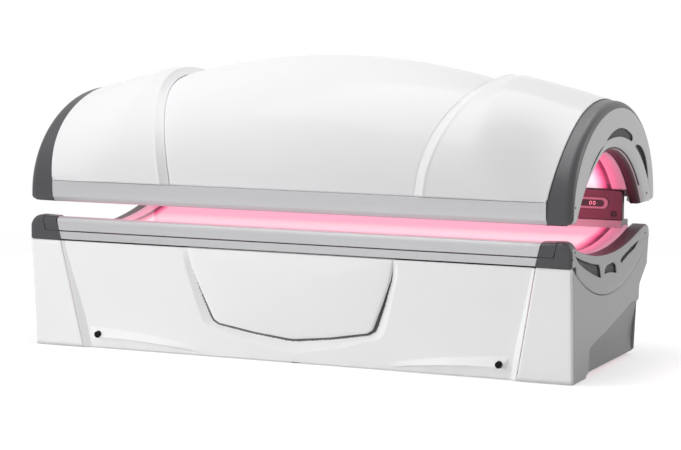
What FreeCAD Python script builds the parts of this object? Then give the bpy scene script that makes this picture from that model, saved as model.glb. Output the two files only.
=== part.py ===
import FreeCAD, Part
import Sketcher
import math
import os

# Clamshell tanning bed: a bench and a canopy hinged at the back, in millimetres.
# +X runs along the bed, -Y is the side that opens, +Z is up, the origin is on the floor.

doc = FreeCAD.newDocument("TanningBed")
sheet = doc.addObject("Spreadsheet::Sheet", "Sizes")

DRIVING_SIZES = {
    # overall
    "bed_length": 2240, "canopy_depth": 1100, "front_inset": 5, "rear_inset": 75,
    "floor_gap": 3, "panel_gap": 5, "seat_gap": 0.3, "running_gap": 0.05,
    # bench outside
    "bench_height": 521, "profile_height": 54, "profile_depth": 55, "profile_round": 20,
    "strip_height": 31, "seam": 3, "corner_length": 135, "insert_length": 90, "corner_round": 42, "corner_rise": 4,
    "panel_thickness": 18, "post_thickness": 24, "lean": 39, "crease_taper": 67,
    "panel_swing_axis": 8, "hook_reach": 700, "hook_width": 10, "hook_pin": 3,
    "side_thickness": 8, "side_flange": 50, "side_foot_depth": 134, "side_raise": 15,
    "hollow_middle": -55, "hollow_depth": 83, "hollow_radius": 1632, "hollow_margin": 115,
    "seam_depth": 236, "seam_radius": 890, "seam_middle": -45, "glass_thickness": 8,
    "knee_slope": 38, "knee_gap": 120, "knee_drop": 249, "shoulder_gap": 20,
    "shoulder_drop": 174, "rear_top_drop": 43, "cap_back_drop": 61, "rear_sheet": 2,
    # shield and locks on the front panel
    "shield_reach": 430, "shield_waist": 342, "shield_waist_drop": 265, "shield_tip_drop": 345,
    "shield_gap": 20, "shield_recess": 9, "shield_thickness": 8,
    "lock_inset": 280, "lock_height": 55, "lock_radius": 12,
    # frame and base
    "tube": 40, "tube_wall": 2, "foot_height": 20, "foot_radius": 24, "frame_front_gap": 75,
    "frame_rear_gap": 12, "frame_inset": 60, "frame_middle": 350, "cross_drop": 98,
    "rear_rail_gap": 15, "rear_rail_drop": 121, "tray_thickness": 2,
    "ballast_length": 230, "ballast_width": 46, "ballast_height": 38, "ballast_pitch": 260,
    "power_length": 300, "power_width": 200, "power_height": 150, "power_wall": 3, "power_shift": 20,
    # lamps
    "lamp_radius": 19, "lamp_wall": 1.5, "lamp_pitch": 45, "lamp_gap": 4, "holder_length": 22, "holder_radius": 18.5,
    "holder_plate": 3, "bench_lamp_count": 14, "canopy_lamp_count": 21, "reflector_gap": 6,
    "reflector_sheet": 1.5,
    # canopy
    "canopy_gap": 59, "rail_height": 85, "rail_depth": 59, "rail_round": 12, "canopy_end": 100,
    "shoulder_rise": 53, "end_rise": 318, "peak_rise": 59, "wing_peak_reach": 740,
    "crest_rise": 128, "crest_bow": 87, "seam_reach_low": 525, "seam_reach_high": 650,
    "seam_rise": 44, "wing_proud": 14, "shell_thickness": 5, "crest_offset": 20,
    "cap_wall": 8, "cap_ridge": 26, "cap_shoulder_rise": 40,
    "cap_drop": 31, "arch_margin": 25, "arch_cover": 181, "arch_middle": -45,
    "rib_thickness": 20, "rib_depth": 22, "rib_gap": 0.3, "front_tube": 30,
    "louvre_rise": 85, "louvre_reach": 106, "louvre_thickness": 3,
    # hinge and gas springs
    "hinge_rise": 20, "hinge_inset": 240, "hinge_eye": 22, "pin_radius": 10,
    "arm_width": 20, "bracket_plate": 8, "side_gap": 0.5, "lever": 62, "lever_angle": 20,
    "spring_offset": 30, "spring_drop": 65, "spring_radius": 12, "spring_body": 150,
    "rod_radius": 5, "stud_radius": 6, "eye_play": 2.5, "eye_thickness": 8, "eye_wall": 5,
    # console on the back of the bench
    "console_gap": 130, "console_depth": 28, "console_rise": 120, "console_inset": 70,
    "console_wall": 3, "deck_rise": 60, "deck_thickness": 22, "pill_drop": 53, "pill_height": 44,
    "pill_length": 430, "pill_inset": 60, "bezel_thickness": 4, "window_height": 27,
    "window_length": 263, "window_inset": 17, "button_radius": 7, "button_pitch": 26,
    "button_length": 14, "button_proud": 3,
    "gland_reach": 900, "gland_height": 90, "gland_radius": 11, "gland_flange": 24, "gland_length": 30,
    "cable_radius": 6.5,
    # fans
    "fan_radius": 95, "fan_wall": 3, "fan_depth": 50, "fan_hub": 32, "fan_reach": 560,
    "fan_back": -90, "blade_count": 7, "blade_thickness": 3, "fan_axle": 4,
}


class Term:
    """A size with its value and the expression that gives it."""

    def __init__(self, value, text):
        self.value = float(value)
        self.text = text

    def __float__(self):
        return self.value

    def __neg__(self):
        return Term(-self.value, f"(-{self.text})")

    def __add__(self, other):
        other = term(other)
        return Term(self.value + other.value, f"({self.text} + {other.text})")

    def __radd__(self, other):
        return term(other) + self

    def __sub__(self, other):
        other = term(other)
        return Term(self.value - other.value, f"({self.text} - {other.text})")

    def __rsub__(self, other):
        return term(other) - self

    def __mul__(self, other):
        other = term(other)
        return Term(self.value * other.value, f"({self.text} * {other.text})")

    def __rmul__(self, other):
        return term(other) * self

    def __truediv__(self, other):
        other = term(other)
        return Term(self.value / other.value, f"({self.text} / {other.text})")


def term(number):
    if isinstance(number, Term):
        return number
    return Term(number, f"({number})")


def fill_sheet():
    for row, (alias, value) in enumerate(DRIVING_SIZES.items(), start=1):
        sheet.set(f"A{row}", alias)
        sheet.set(f"B{row}", str(value))
        sheet.setAlias(f"B{row}", alias)
    doc.recompute()


fill_sheet()


def size(alias):
    return Term(sheet.get(alias), f"Sizes.{alias}")


def count(alias):
    return int(round(sheet.get(alias)))


# ---------------------------------------------------------------- drawing helpers

PIECES = []
TURNS = {
    "x": FreeCAD.Rotation(FreeCAD.Vector(0, 1, 0), 90),
    "y": FreeCAD.Rotation(FreeCAD.Vector(1, 0, 0), -90),
    "z": FreeCAD.Rotation(),
}


def keep(piece, label):
    piece.Label = label
    PIECES.append(piece)
    return piece


def place(piece, x=0, y=0, z=0):
    for axis, value in zip("xyz", (x, y, z)):
        piece.setExpression(f"Placement.Base.{axis}", term(value).text)


def box(x0, x1, y0, y1, z0, z1):
    solid = doc.addObject("Part::Box", "Block")
    solid.setExpression("Length", (term(x1) - x0).text)
    solid.setExpression("Width", (term(y1) - y0).text)
    solid.setExpression("Height", (term(z1) - z0).text)
    place(solid, x0, y0, z0)
    return solid


def rod(axis, radius, length, x, y, z):
    solid = doc.addObject("Part::Cylinder", "Rod")
    solid.setExpression("Radius", term(radius).text)
    solid.setExpression("Height", term(length).text)
    solid.Placement.Rotation = TURNS[axis]
    place(solid, x, y, z)
    return solid


def cut(base, tool):
    result = doc.addObject("Part::Cut", "Cut")
    result.Base = base
    result.Tool = tool
    return result


def fuse(solids):
    result = doc.addObject("Part::MultiFuse", "Fuse")
    result.Shapes = solids
    return result


def group(solids):
    result = doc.addObject("Part::Compound", "Group")
    result.Links = solids
    return result


def square_tube(x0, x1, y0, y1, z0, z1, along):
    """A square tube: a block with a smaller block taken out along its length."""
    wall = size("tube_wall")
    gaps = [0 if axis == along else wall for axis in "xyz"]
    bore = box(x0 + gaps[0], x1 - gaps[0], y0 + gaps[1], y1 - gaps[1], z0 + gaps[2], z1 - gaps[2])
    return cut(box(x0, x1, y0, y1, z0, z1), bore)


def arc_centre(start, end, radius, side):
    middle = (start + end) * 0.5
    chord = end - start
    rise = math.sqrt(max(radius ** 2 - (chord.Length / 2) ** 2, 0))
    normal = FreeCAD.Vector(-chord.y, chord.x, 0).normalize()
    return middle + normal * rise * side


def draw(sketch, points):
    """Closed outline through points (u, v) or (u, v, radius, side): a radius makes the
    stretch to the next point an arc whose centre lies on the left (side 1) or right (-1)."""
    spots = [FreeCAD.Vector(float(point[0]), float(point[1]), 0) for point in points]
    ends = []
    for index, point in enumerate(points):
        start = spots[index]
        end = spots[(index + 1) % len(spots)]
        if len(point) == 2:
            geo = sketch.addGeometry(Part.LineSegment(start, end), False)
            ends.append((geo, 1, 2))
            continue
        centre = arc_centre(start, end, float(point[2]), point[3])
        first, last = (start, end) if point[3] > 0 else (end, start)
        angles = [math.atan2(spot.y - centre.y, spot.x - centre.x) for spot in (first, last)]
        circle = Part.Circle(centre, FreeCAD.Vector(0, 0, 1), float(point[2]))
        geo = sketch.addGeometry(Part.ArcOfCircle(circle, angles[0], angles[1]), False)
        ends.append((geo, 1, 2) if point[3] > 0 else (geo, 2, 1))
    for index, (geo, _, last) in enumerate(ends):
        following = ends[(index + 1) % len(ends)]
        sketch.addConstraint(Sketcher.Constraint("Coincident", geo, last, following[0], following[1]))
    for (geo, first, _), point in zip(ends, points):
        fix(sketch, "DistanceX", (-1, 1, geo, first), point[0])
        fix(sketch, "DistanceY", (-1, 1, geo, first), point[1])
        if len(point) == 4:
            fix(sketch, "Radius", (geo,), point[2])


def fix(sketch, kind, places, value):
    value = term(value)
    index = sketch.addConstraint(Sketcher.Constraint(kind, *places, value.value))
    sketch.setExpression(f"Constraints[{index}]", value.text)


def circle(sketch, radius, u=0, v=0):
    spot = FreeCAD.Vector(float(u), float(v), 0)
    geo = sketch.addGeometry(Part.Circle(spot, FreeCAD.Vector(0, 0, 1), float(radius)), False)
    fix(sketch, "Radius", (geo,), radius)
    fix(sketch, "DistanceX", (-1, 1, geo, 3), u)
    fix(sketch, "DistanceY", (-1, 1, geo, 3), v)


def new_sketch(body, plane):
    origin = [feature for feature in body.Origin.OriginFeatures if feature.Role == plane][0]
    sketch = body.newObject("Sketcher::SketchObject", "Outline")
    sketch.AttachmentSupport = [(origin, "")]
    sketch.MapMode = "FlatFace"
    return sketch


def feature(body, kind, sketch, length, reverse=False, midplane=False):
    made = body.newObject(f"PartDesign::{kind}", kind)
    made.Profile = sketch
    made.setExpression("Length", term(length).text)
    made.Reversed = reverse
    made.Midplane = midplane
    sketch.Visibility = False
    return made


def pad(plane, points, length, reverse=False, midplane=False):
    """A body with one padded outline. On YZ_Plane it grows along +X, on XZ_Plane along -Y."""
    body = doc.addObject("PartDesign::Body", "Body")
    sketch = new_sketch(body, plane)
    draw(sketch, points)
    feature(body, "Pad", sketch, length, reverse, midplane)
    return body


def pocket(body, plane, points, length, reverse=False, midplane=False):
    sketch = new_sketch(body, plane)
    draw(sketch, points)
    doc.recompute()
    before = body.Shape.Volume
    feature(body, "Pocket", sketch, length, reverse, midplane)
    doc.recompute()
    if not body.Shape.Volume < before:
        raise ValueError(f"a pocket in {body.Name} cuts nothing")


def coded(label, shape):
    piece = doc.addObject("Part::Feature", label)
    piece.Shape = shape
    return keep(piece, label)


def root_of(value):
    value = term(value)
    return Term(math.sqrt(value.value), f"sqrt({value.text})")


def arctan(value):
    value = term(value)
    return Term(math.degrees(math.atan(value.value)), f"atan({value.text})")


# ---------------------------------------------------------------- shared places

gap = size("seat_gap")
tube = size("tube")

# along the bed
half = size("bed_length") / 2
shell_end = half - size("canopy_end")
side_inner = half - size("side_thickness")
flange_inner = side_inner - size("side_flange")
corner_start = half - size("corner_length")
crease_top = corner_start
crease_low = corner_start - size("crease_taper")
frame_end = half - size("frame_inset")
frame_inner = frame_end - tube
lamp_reach = frame_inner - size("holder_plate") - size("holder_length")
hinge_reach = half - size("hinge_inset")
lock_reach = half - size("lock_inset")
console_reach = half - size("console_inset")
pill_end = console_reach - size("pill_inset")
pill_start = pill_end - size("pill_length")
window_end = pill_end - size("window_inset")
window_start = window_end - size("window_length")

# from the open front to the back
front = size("front_inset") - size("canopy_depth") / 2
bench_back = size("canopy_depth") / 2 - size("rear_inset")
rear_rail_back = bench_back - size("rear_rail_gap")
rear_rail_front = rear_rail_back - tube
hinge_back = rear_rail_back
rear_shoulder = bench_back - size("shoulder_gap")
rear_knee = bench_back - size("knee_gap")
rear_low = rear_knee - size("knee_slope")
frame_front = -front - size("frame_front_gap")
frame_rear = rear_low - size("frame_rear_gap")
console_front = bench_back - size("console_gap")
hollow_reach = size("canopy_depth") / 2 - size("hollow_margin")
arch_radius = size("canopy_depth") / 2 - size("arch_margin")

# heights of the bench
bench_top = size("bench_height")
profile_low = bench_top - size("profile_height")
strip_high = profile_low - size("seam")
strip_low = strip_high - size("strip_height")
panel_high = strip_low - size("panel_gap")
panel_drop = panel_high - size("floor_gap")
lean_angle = arctan(size("lean") / panel_high)
hollow_low = bench_top - size("hollow_depth")
seam_low = bench_top - size("seam_depth")
cross_height = hollow_low - size("cross_drop")
rear_rail_height = bench_top - size("rear_rail_drop")
rear_rail_top = rear_rail_height + tube
rear_knee_height = bench_top - size("knee_drop")
rear_shoulder_height = bench_top - size("shoulder_drop")
rear_top_height = bench_top - size("rear_top_drop")
cap_back = bench_top - size("cap_back_drop")
spring_foot = rear_rail_height - size("spring_drop")
deck_low = rear_rail_top + size("deck_rise")
deck_high = deck_low + size("deck_thickness")
console_top = bench_top + size("console_rise")
pill_middle = console_top - size("pill_drop")
tray_top = size("foot_height") + tube + size("tray_thickness")

# heights of the canopy
canopy_low = bench_top + size("canopy_gap")
rail_high = canopy_low + size("rail_height")
hinge_height = canopy_low + size("hinge_rise")
rear_foot_height = hinge_height
shoulder_height = rail_high + size("shoulder_rise")
end_height = shoulder_height + size("end_rise")
wing_peak = end_height + size("peak_rise")
crest_height = end_height + size("crest_rise")
seam_top = end_height + size("seam_rise")
cap_shoulder = canopy_low + size("cap_shoulder_rise")
cap_height = end_height - size("cap_drop")
arch_top = cap_height - size("arch_cover")
arch_centre = arch_top - arch_radius
SIDES = {"left": -1, "right": 1}


def hollow(y, drop=0):
    """Height of the bench's hollow top edge at y, lowered by drop square to the arc."""
    radius = size("hollow_radius") + drop
    across = term(y) - size("hollow_middle")
    return hollow_low + size("hollow_radius") - root_of(radius * radius - across * across)


def end_seam(y, drop=0):
    """Height of the round seam between the end cap and the end panel at y."""
    radius = size("seam_radius") + drop
    across = term(y) - size("seam_middle")
    return seam_low + size("seam_radius") - root_of(radius * radius - across * across)


def arch_reach(radius, height):
    """Half width of an arc about the canopy's arch centre at a height."""
    rise = term(height) - arch_centre
    return root_of(term(radius) * radius - rise * rise)


def lean_back(body, depth=0):
    """Tilt a piece of the front about its top edge, so that its foot stands further back."""
    body.Placement = FreeCAD.Placement(FreeCAD.Vector(), FreeCAD.Rotation(FreeCAD.Vector(1, 0, 0), 5))
    body.setExpression("Placement.Rotation.Angle", lean_angle.text)
    place(body, 0, front + depth, panel_high)


# ---------------------------------------------------------------- bench: frame and base

def base_frame():
    end, middle = frame_end, size("frame_middle")
    low, high = size("foot_height"), size("foot_height") + tube
    front_y = (-frame_front, tube - frame_front)
    rear_y = (frame_rear - tube, frame_rear)
    top = strip_low - tube
    cross = cross_height
    solids = [square_tube(-end, end, *front_y, low, high, "x"),
              square_tube(-end, end, *rear_y, low, high, "x"),
              square_tube(-end, end, *front_y, top, strip_low, "x"),
              square_tube(-end, end, rear_rail_front, rear_rail_back,
                          rear_rail_height, rear_rail_top, "x")]
    for x0, x1 in ((-end, tube - end), (-middle, tube - middle), (middle - tube, middle), (end - tube, end)):
        solids.append(square_tube(x0, x1, front_y[1], rear_y[0], low, high, "y"))
        solids.append(square_tube(x0, x1, *front_y, high, top, "z"))
        solids.append(square_tube(x0, x1, *rear_y, high, rear_rail_top, "z"))
        solids.append(square_tube(x0, x1, rear_y[1], rear_rail_front,
                                  rear_rail_height, rear_rail_top, "y"))
        solids.append(square_tube(x0, x1, front_y[1], rear_y[0], cross, cross + tube, "y"))
    keep(group(solids + panel_hooks()), "base_frame")


def levelling_feet():
    feet = []
    pad_height = 8
    rows = (tube / 2 - frame_front, frame_rear - tube / 2)
    for x in (tube / 2 - frame_end, term(0), frame_end - tube / 2):
        for y in rows:
            disc = rod("z", size("foot_radius"), pad_height, x, y, 0)
            stem = rod("z", size("foot_radius") / 4, size("foot_height"), x, y, 0)
            feet.append(fuse([disc, stem]))
    keep(group(feet), "levelling_feet")


def base_tray():
    y0, y1 = tube - frame_front, frame_rear - tube
    low = size("foot_height") + tube
    sheet_metal = box(-frame_end, frame_end, y0, y1, low, tray_top)
    intakes = [rod("z", size("fan_radius") - 2, 3 * size("tray_thickness"), side * size("fan_reach"),
                   size("fan_back"), low - size("tray_thickness")) for side in SIDES.values()]
    keep(cut(sheet_metal, fuse(intakes)), "base_tray")


def ballasts():
    solids = []
    behind, ahead = tube - frame_front, frame_rear - tube
    rows = (behind + 40, behind + 105, ahead - 135, ahead - 70)
    for y in rows:
        for step in (-1.5, -0.5, 0.5, 1.5):
            x = step * 2 * size("ballast_pitch") - size("ballast_length") / 2
            solids.append(box(x, x + size("ballast_length"), y, y + size("ballast_width"),
                              tray_top, tray_top + size("ballast_height")))
    keep(group(solids), "ballasts")


def power_box():
    reach, width, wall = size("power_length") / 2, size("power_width") / 2, size("power_wall")
    y, high = -frame_front / 2 + frame_rear / 2 + size("power_shift"), tray_top + size("power_height")
    outer = box(-reach, reach, y - width, y + width, tray_top, high)
    inner = box(wall - reach, reach - wall, y - width + wall, y + width - wall, tray_top + wall, high - wall)
    keep(cut(outer, inner), "power_box")


def rear_panel():
    sheet_metal = size("rear_sheet")
    path = [(rear_low, size("foot_height")), (rear_knee, rear_knee_height),
            (rear_shoulder, rear_shoulder_height), (bench_back - sheet_metal, 424),
            (bench_back - sheet_metal, rear_top_height)]
    outline = path + [(y - sheet_metal, z) for y, z in reversed(path)]
    body = pad("YZ_Plane", outline, 2 * (side_inner - gap), midplane=True)
    x, z, reach = -size("gland_reach"), size("gland_height"), size("gland_radius") + 3
    gland_hole = [(x - reach, z - reach), (x + reach, z - reach), (x + reach, z + reach), (x - reach, z + reach)]
    pocket(body, "XZ_Plane", gland_hole, 2 * rear_shoulder, midplane=True)
    keep(body, "rear_panel")


def mains_gland():
    """A plate over the hole in the rear panel with a bored boss for the mains lead."""
    x, z, length = -size("gland_reach"), size("gland_height"), size("gland_length")
    slope = (rear_knee - rear_low) / (rear_knee_height - size("foot_height"))
    y = rear_low + slope * (z + size("gland_flange") - size("foot_height")) + gap
    boss = rod("y", size("gland_radius"), length, x, y + 12 - length, z)
    flange = rod("y", size("gland_flange"), 4, x, y, z)
    bore = rod("y", size("cable_radius"), 2 * length, x, y - 1.5 * length, z)
    keep(cut(fuse([boss, flange]), bore), "mains_gland")


# ---------------------------------------------------------------- bench: lamps and glass

def hollow_band(top, bottom, reach, length):
    """A curved plate under the hollow: top and bottom are depths below the hollow's edge."""
    middle = size("hollow_middle")
    y0, y1 = middle - reach, middle + reach
    radius = size("hollow_radius")
    outline = [(y0, hollow(y0, bottom), radius + bottom, 1), (y1, hollow(y1, bottom)),
               (y1, hollow(y1, top), radius + top, -1), (y0, hollow(y0, top))]
    return pad("YZ_Plane", outline, length, midplane=True)


def bench_glass():
    reach = hollow_reach
    keep(hollow_band(term(0), size("glass_thickness"), reach, 2 * (flange_inner - gap)), "bench_acrylic")


def lamp_depth():
    return size("glass_thickness") + size("lamp_gap") + size("lamp_radius")


def bench_lamp_places():
    places = []
    number = count("bench_lamp_count")
    for index in range(number):
        y = size("hollow_middle") + (index - (number - 1) / 2) * size("lamp_pitch")
        places.append((y, hollow(y) - lamp_depth()))
    return places


def lamps_and_holders(places, label):
    tubes, holders = [], []
    for y, z in places:
        tube_glass = rod("x", size("lamp_radius"), 2 * lamp_reach, -lamp_reach, y, z)
        bore = size("lamp_radius") - size("lamp_wall")
        tubes.append(cut(tube_glass, rod("x", bore, 2 * lamp_reach + 2, -lamp_reach - 1, y, z)))
        for start in (lamp_reach, -lamp_reach - size("holder_length")):
            holders.append(rod("x", size("holder_radius"), size("holder_length"), start, y, z))
    keep(group(tubes), f"{label}_lamps")
    return holders


def bench_lamp_set():
    holders = lamps_and_holders(bench_lamp_places(), "bench")
    middle = size("hollow_middle")
    reach = (size("bench_lamp_count") - 1) / 2 * size("lamp_pitch") + size("lamp_radius") + 2
    radius = size("hollow_radius") + size("glass_thickness") + 1
    for side in SIDES.values():
        y0, y1 = middle - reach, middle + reach
        top = size("glass_thickness") + 1
        outline = [(y0, cross_height), (y1, cross_height), (y1, hollow(y1, top), radius, -1),
                   (y0, hollow(y0, top))]
        plate = pad("YZ_Plane", outline, size("holder_plate"))
        place(plate, side * (frame_inner - size("holder_plate") / 2) - size("holder_plate") / 2)
        holders.append(plate)
    keep(group(holders), "bench_lamp_holders")
    depth = lamp_depth() + size("lamp_radius") + size("reflector_gap")
    length = 2 * (frame_inner - size("holder_plate") - gap)
    keep(hollow_band(depth, depth + size("reflector_sheet"), reach, length), "bench_reflector")


# ---------------------------------------------------------------- bench: outer pieces

def bench_top_profile():
    """Hollow aluminium rail along the front of the bench top, rounded over at its front."""
    round_off, depth = size("profile_round"), size("profile_depth")
    outline = [(front, profile_low), (front + depth, profile_low), (front + depth, bench_top - round_off),
               (front + depth / 2, bench_top), (front + round_off, bench_top, round_off, 1),
               (front, bench_top - round_off)]
    body = pad("YZ_Plane", outline, 2 * (corner_start - gap), midplane=True)
    wall = 4
    chamber = [(front + wall, profile_low + wall), (front + depth - wall, profile_low + wall),
               (front + depth - wall, bench_top - round_off - wall),
               (front + wall, bench_top - round_off - wall)]
    pocket(body, "YZ_Plane", chamber, 2 * half, midplane=True)
    keep(body, "bench_top_profile")


def front_strip():
    reach = corner_start - gap
    back = tube - frame_front
    outer = box(-reach, reach, front + 1, back, strip_low, strip_high)
    chamber = box(-reach - 1, reach + 1, front + 4, back - 3, strip_low + 3, strip_high - 3)
    keep(cut(outer, chamber), "front_strip")


def mirror_of(piece):
    """The same piece mirrored to the other end of the bed."""
    other = doc.addObject("Part::Mirroring", "Mirror")
    other.Source = piece
    other.Normal = (1, 0, 0)
    return other


def keep_pair(piece, label):
    keep(piece, f"{label}_right")
    keep(mirror_of(piece), f"{label}_left")


def corner_caps():
    """Plastic blocks at the ends of the front rail, each with a loose insert in line with it."""
    top = bench_top + size("corner_rise")
    round_off, depth = size("corner_round"), size("profile_depth") + 2
    split = corner_start + size("insert_length")
    ledge = profile_low - size("seam") / 2
    edge = half - gap
    outline = [(corner_start, strip_low - 2), (edge, strip_low - 2), (edge, top - round_off, round_off, 1),
               (edge - round_off, top), (split, top), (split, ledge), (corner_start, ledge)]
    body = pad("XZ_Plane", outline, depth, reverse=True)
    place(body, 0, front - 2)
    wall = box(side_inner - gap, half, front - 2 + 4, front + depth, strip_low - 10, top)
    keep_pair(cut(body, wall), "corner_cap")
    side = split - size("seam")
    outline = [(corner_start, profile_low), (side, profile_low), (side, top - 1), (corner_start, top - 1)]
    insert = pad("XZ_Plane", outline, depth - 3, reverse=True)
    place(insert, 0, front - 1)
    keep(group([insert, mirror_of(insert)]), "corner_inserts")


def corner_posts():
    outline = [(crease_top, 0), (crease_low, -panel_drop), (half, -panel_drop), (half, 0)]
    body = pad("XZ_Plane", outline, size("post_thickness"), reverse=True)
    lean_back(body, term(1))
    keep_pair(body, "corner_post")


def shield_outline(grow):
    """Shield on the front panel: straight shoulders, a waist and a blunt point, grown all round."""
    reach, waist = size("shield_reach") + grow, size("shield_waist") + grow
    drop, tip = size("shield_waist_drop"), size("shield_tip_drop") + grow
    right = [(reach, 0), (reach - 55, -(drop * 0.7)), (waist, -drop), (waist - 22, -(drop + 35 + grow)),
             (waist * 0.47, -(tip - 18))]
    left = [(-u, v) for u, v in reversed(right)]
    return right + [(0, -tip)] + left


def wedge_outline(side):
    """Low wedge along the foot of the front panel, from beside the corner post to the middle: distance in
    from the post's crease and height over the floor, its crest first and its lower edge on the way back."""
    points = [(48, 85), (238, 70), (428, 47), (513, 32), (553, 5), (481, 14), (298, 32), (173, 40), (60, 46)]
    return [(side * (crease_low - inward), z - panel_high) for inward, z in points]


def front_panel():
    """Middle panel of the front with the shield's recess, two wedges along its foot and lock holes."""
    inset = size("post_thickness") - size("panel_thickness")
    top, foot = crease_top - 1, crease_low - 1
    outline = [(-top, 0), (-foot, -panel_drop), (foot, -panel_drop), (top, 0)]
    body = pad("XZ_Plane", outline, size("panel_thickness"), reverse=True)
    pocket(body, "XZ_Plane", shield_outline(size("shield_gap")), size("shield_recess"))
    hook, width = size("hook_reach"), size("hook_width")
    for side in SIDES.values():
        pocket(body, "XZ_Plane", wedge_outline(side), 5)
        slot = [(side * (hook - width), 1), (side * (hook + width), 1), (side * (hook + width), -20),
                (side * (hook - width), -20)]
        sketch = new_sketch(body, "XZ_Plane")
        draw(sketch, slot)
        sketch.AttachmentOffset = FreeCAD.Placement(FreeCAD.Vector(0, 0, -3), FreeCAD.Rotation())
        feature(body, "Pocket", sketch, size("panel_thickness"))
        sketch = new_sketch(body, "XZ_Plane")
        circle(sketch, size("lock_radius") + size("running_gap"), side * lock_reach,
               size("lock_height") - panel_high)
        feature(body, "Pocket", sketch, size("panel_thickness"))
    lean_back(body, 1 + inset)
    pins, bores = [], []
    length = 2 * width + 8
    for side in SIDES.values():
        start = side * hook - length / 2
        pins.append(rod("x", size("hook_pin"), length, start, *swing_axis()))
        bores.append(rod("x", size("hook_pin") + 0.02, length, start, *swing_axis()))
    keep(group([cut(body, fuse(bores))] + pins), "front_panel")


def leaning(y, v):
    """A point of the leaning front, y behind the top edge's front corner and v above it."""
    slant = root_of(panel_high * panel_high + size("lean") * size("lean"))
    lean_cos, lean_sin = panel_high / slant, size("lean") / slant
    return front + y * lean_cos - v * lean_sin, panel_high + y * lean_sin + v * lean_cos


def swing_axis():
    inset = size("post_thickness") - size("panel_thickness")
    return leaning(1 + inset + size("panel_thickness") / 2, -size("panel_swing_axis"))


def panel_hooks():
    """Hooks on the frame's top rail that the front panel's pins hang in."""
    y, z = swing_axis()
    width = size("hook_width")
    x = size("hook_reach") - width / 2
    arm = box(x, x + width, y, -frame_front, z - 5, z + 4)
    eye = rod("x", 5, width, x, y, z)
    bore = rod("x", size("hook_pin") + size("running_gap"), width + 2, x - 1, y, z)
    hook = cut(fuse([arm, eye]), bore)
    return [hook, mirror_of(hook)]


def shield_panel():
    body = pad("XZ_Plane", shield_outline(term(0)), size("shield_thickness"), reverse=True)
    inset = size("post_thickness") - size("panel_thickness")
    lean_back(body, 1 + inset + size("shield_recess") - size("shield_thickness"))
    keep(body, "shield_panel")


def panel_locks():
    """Quarter-turn locks: a slotted head in the panel and a cam behind it."""
    inset = size("post_thickness") - size("panel_thickness")
    length = size("panel_thickness") + 2
    x, z = lock_reach, size("lock_height") - panel_high
    barrel = rod("y", size("lock_radius"), length, x, 0, z)
    slot = box(x - 8, x + 8, -1, 3, z - 1.5, z + 1.5)
    cam = box(x - 7, x + 7, length, length + 4, z - 8, z + 22)
    lock = fuse([cut(barrel, slot), cam])
    lean_back(lock, 1 + inset)
    keep_pair(lock, "panel_lock")


def bench_end_caps():
    """Upper end pieces: a wall above the round seam, a flange under the hollow and three vents."""
    middle, reach = size("hollow_middle"), hollow_reach
    y0, y1 = middle - reach, middle + reach
    radius, wall = size("hollow_radius"), size("side_thickness")
    seam_back = bench_back - 35
    length = half - flange_inner
    edge = front + 4
    behind = front - 2 + size("profile_depth") + 2 + gap
    foot_z = strip_low + 1
    ledge = bench_top + size("corner_rise") - size("corner_round")
    outline = [(edge, foot_z), (behind, foot_z), (behind, end_seam(behind), size("seam_radius"), 1),
               (seam_back, end_seam(seam_back)), (bench_back, end_seam(seam_back)), (bench_back - 12, cap_back),
               (bench_back - 40, hollow(y1) - 5), (y1, hollow(y1), radius, -1), (y0, hollow(y0)),
               (behind, hollow(y0)), (behind - 10, ledge), (edge, ledge)]
    low = seam_low - 60
    chamber = [(front - 20, low), (bench_back + 5, low), (bench_back + 5, cap_back + 10),
               (bench_back - 45, hollow(y1, wall) - 6), (y1, hollow(y1, wall), radius + wall, -1),
               (y0, hollow(y0, wall)), (behind, hollow(y0, wall)), (behind, bench_top + 20),
               (front - 20, bench_top + 20)]
    body = pad("YZ_Plane", outline, length)
    pocket(body, "YZ_Plane", chamber, size("side_flange"), reverse=True)
    for vent in bench_vents():
        pocket(body, "YZ_Plane", vent, 3 * length, midplane=True)
    place(body, flange_inner)
    keep_pair(body, "bench_end_cap")


def bench_vents():
    """Three air slots below the hollow: a long tapered one, a short one and a thin tapered one."""
    radius, seam = size("hollow_radius"), size("seam_radius")
    tip, end = front + 40, size("hollow_middle") - 147
    front_vent = [(end, hollow(end) - 36, radius, -1), (tip, hollow(tip) - 28, seam, 1),
                  (end + 22, end_seam(end + 22) + 66)]
    middle = size("hollow_middle")
    right, left = middle + 38, middle - 42
    middle_vent = [(middle - 75, seam_low + 84), (middle + 83, seam_low + 72), (middle + 69, seam_low + 103),
                   (right, hollow(right) - 39), (left, hollow(left) - 43)]
    tip, end = middle + 383, middle + 150
    back_vent = [(end, hollow(end) - 64), (tip, hollow(tip) - 38), (end + 12, hollow(end) - 43)]
    return front_vent, middle_vent, back_vent


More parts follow.
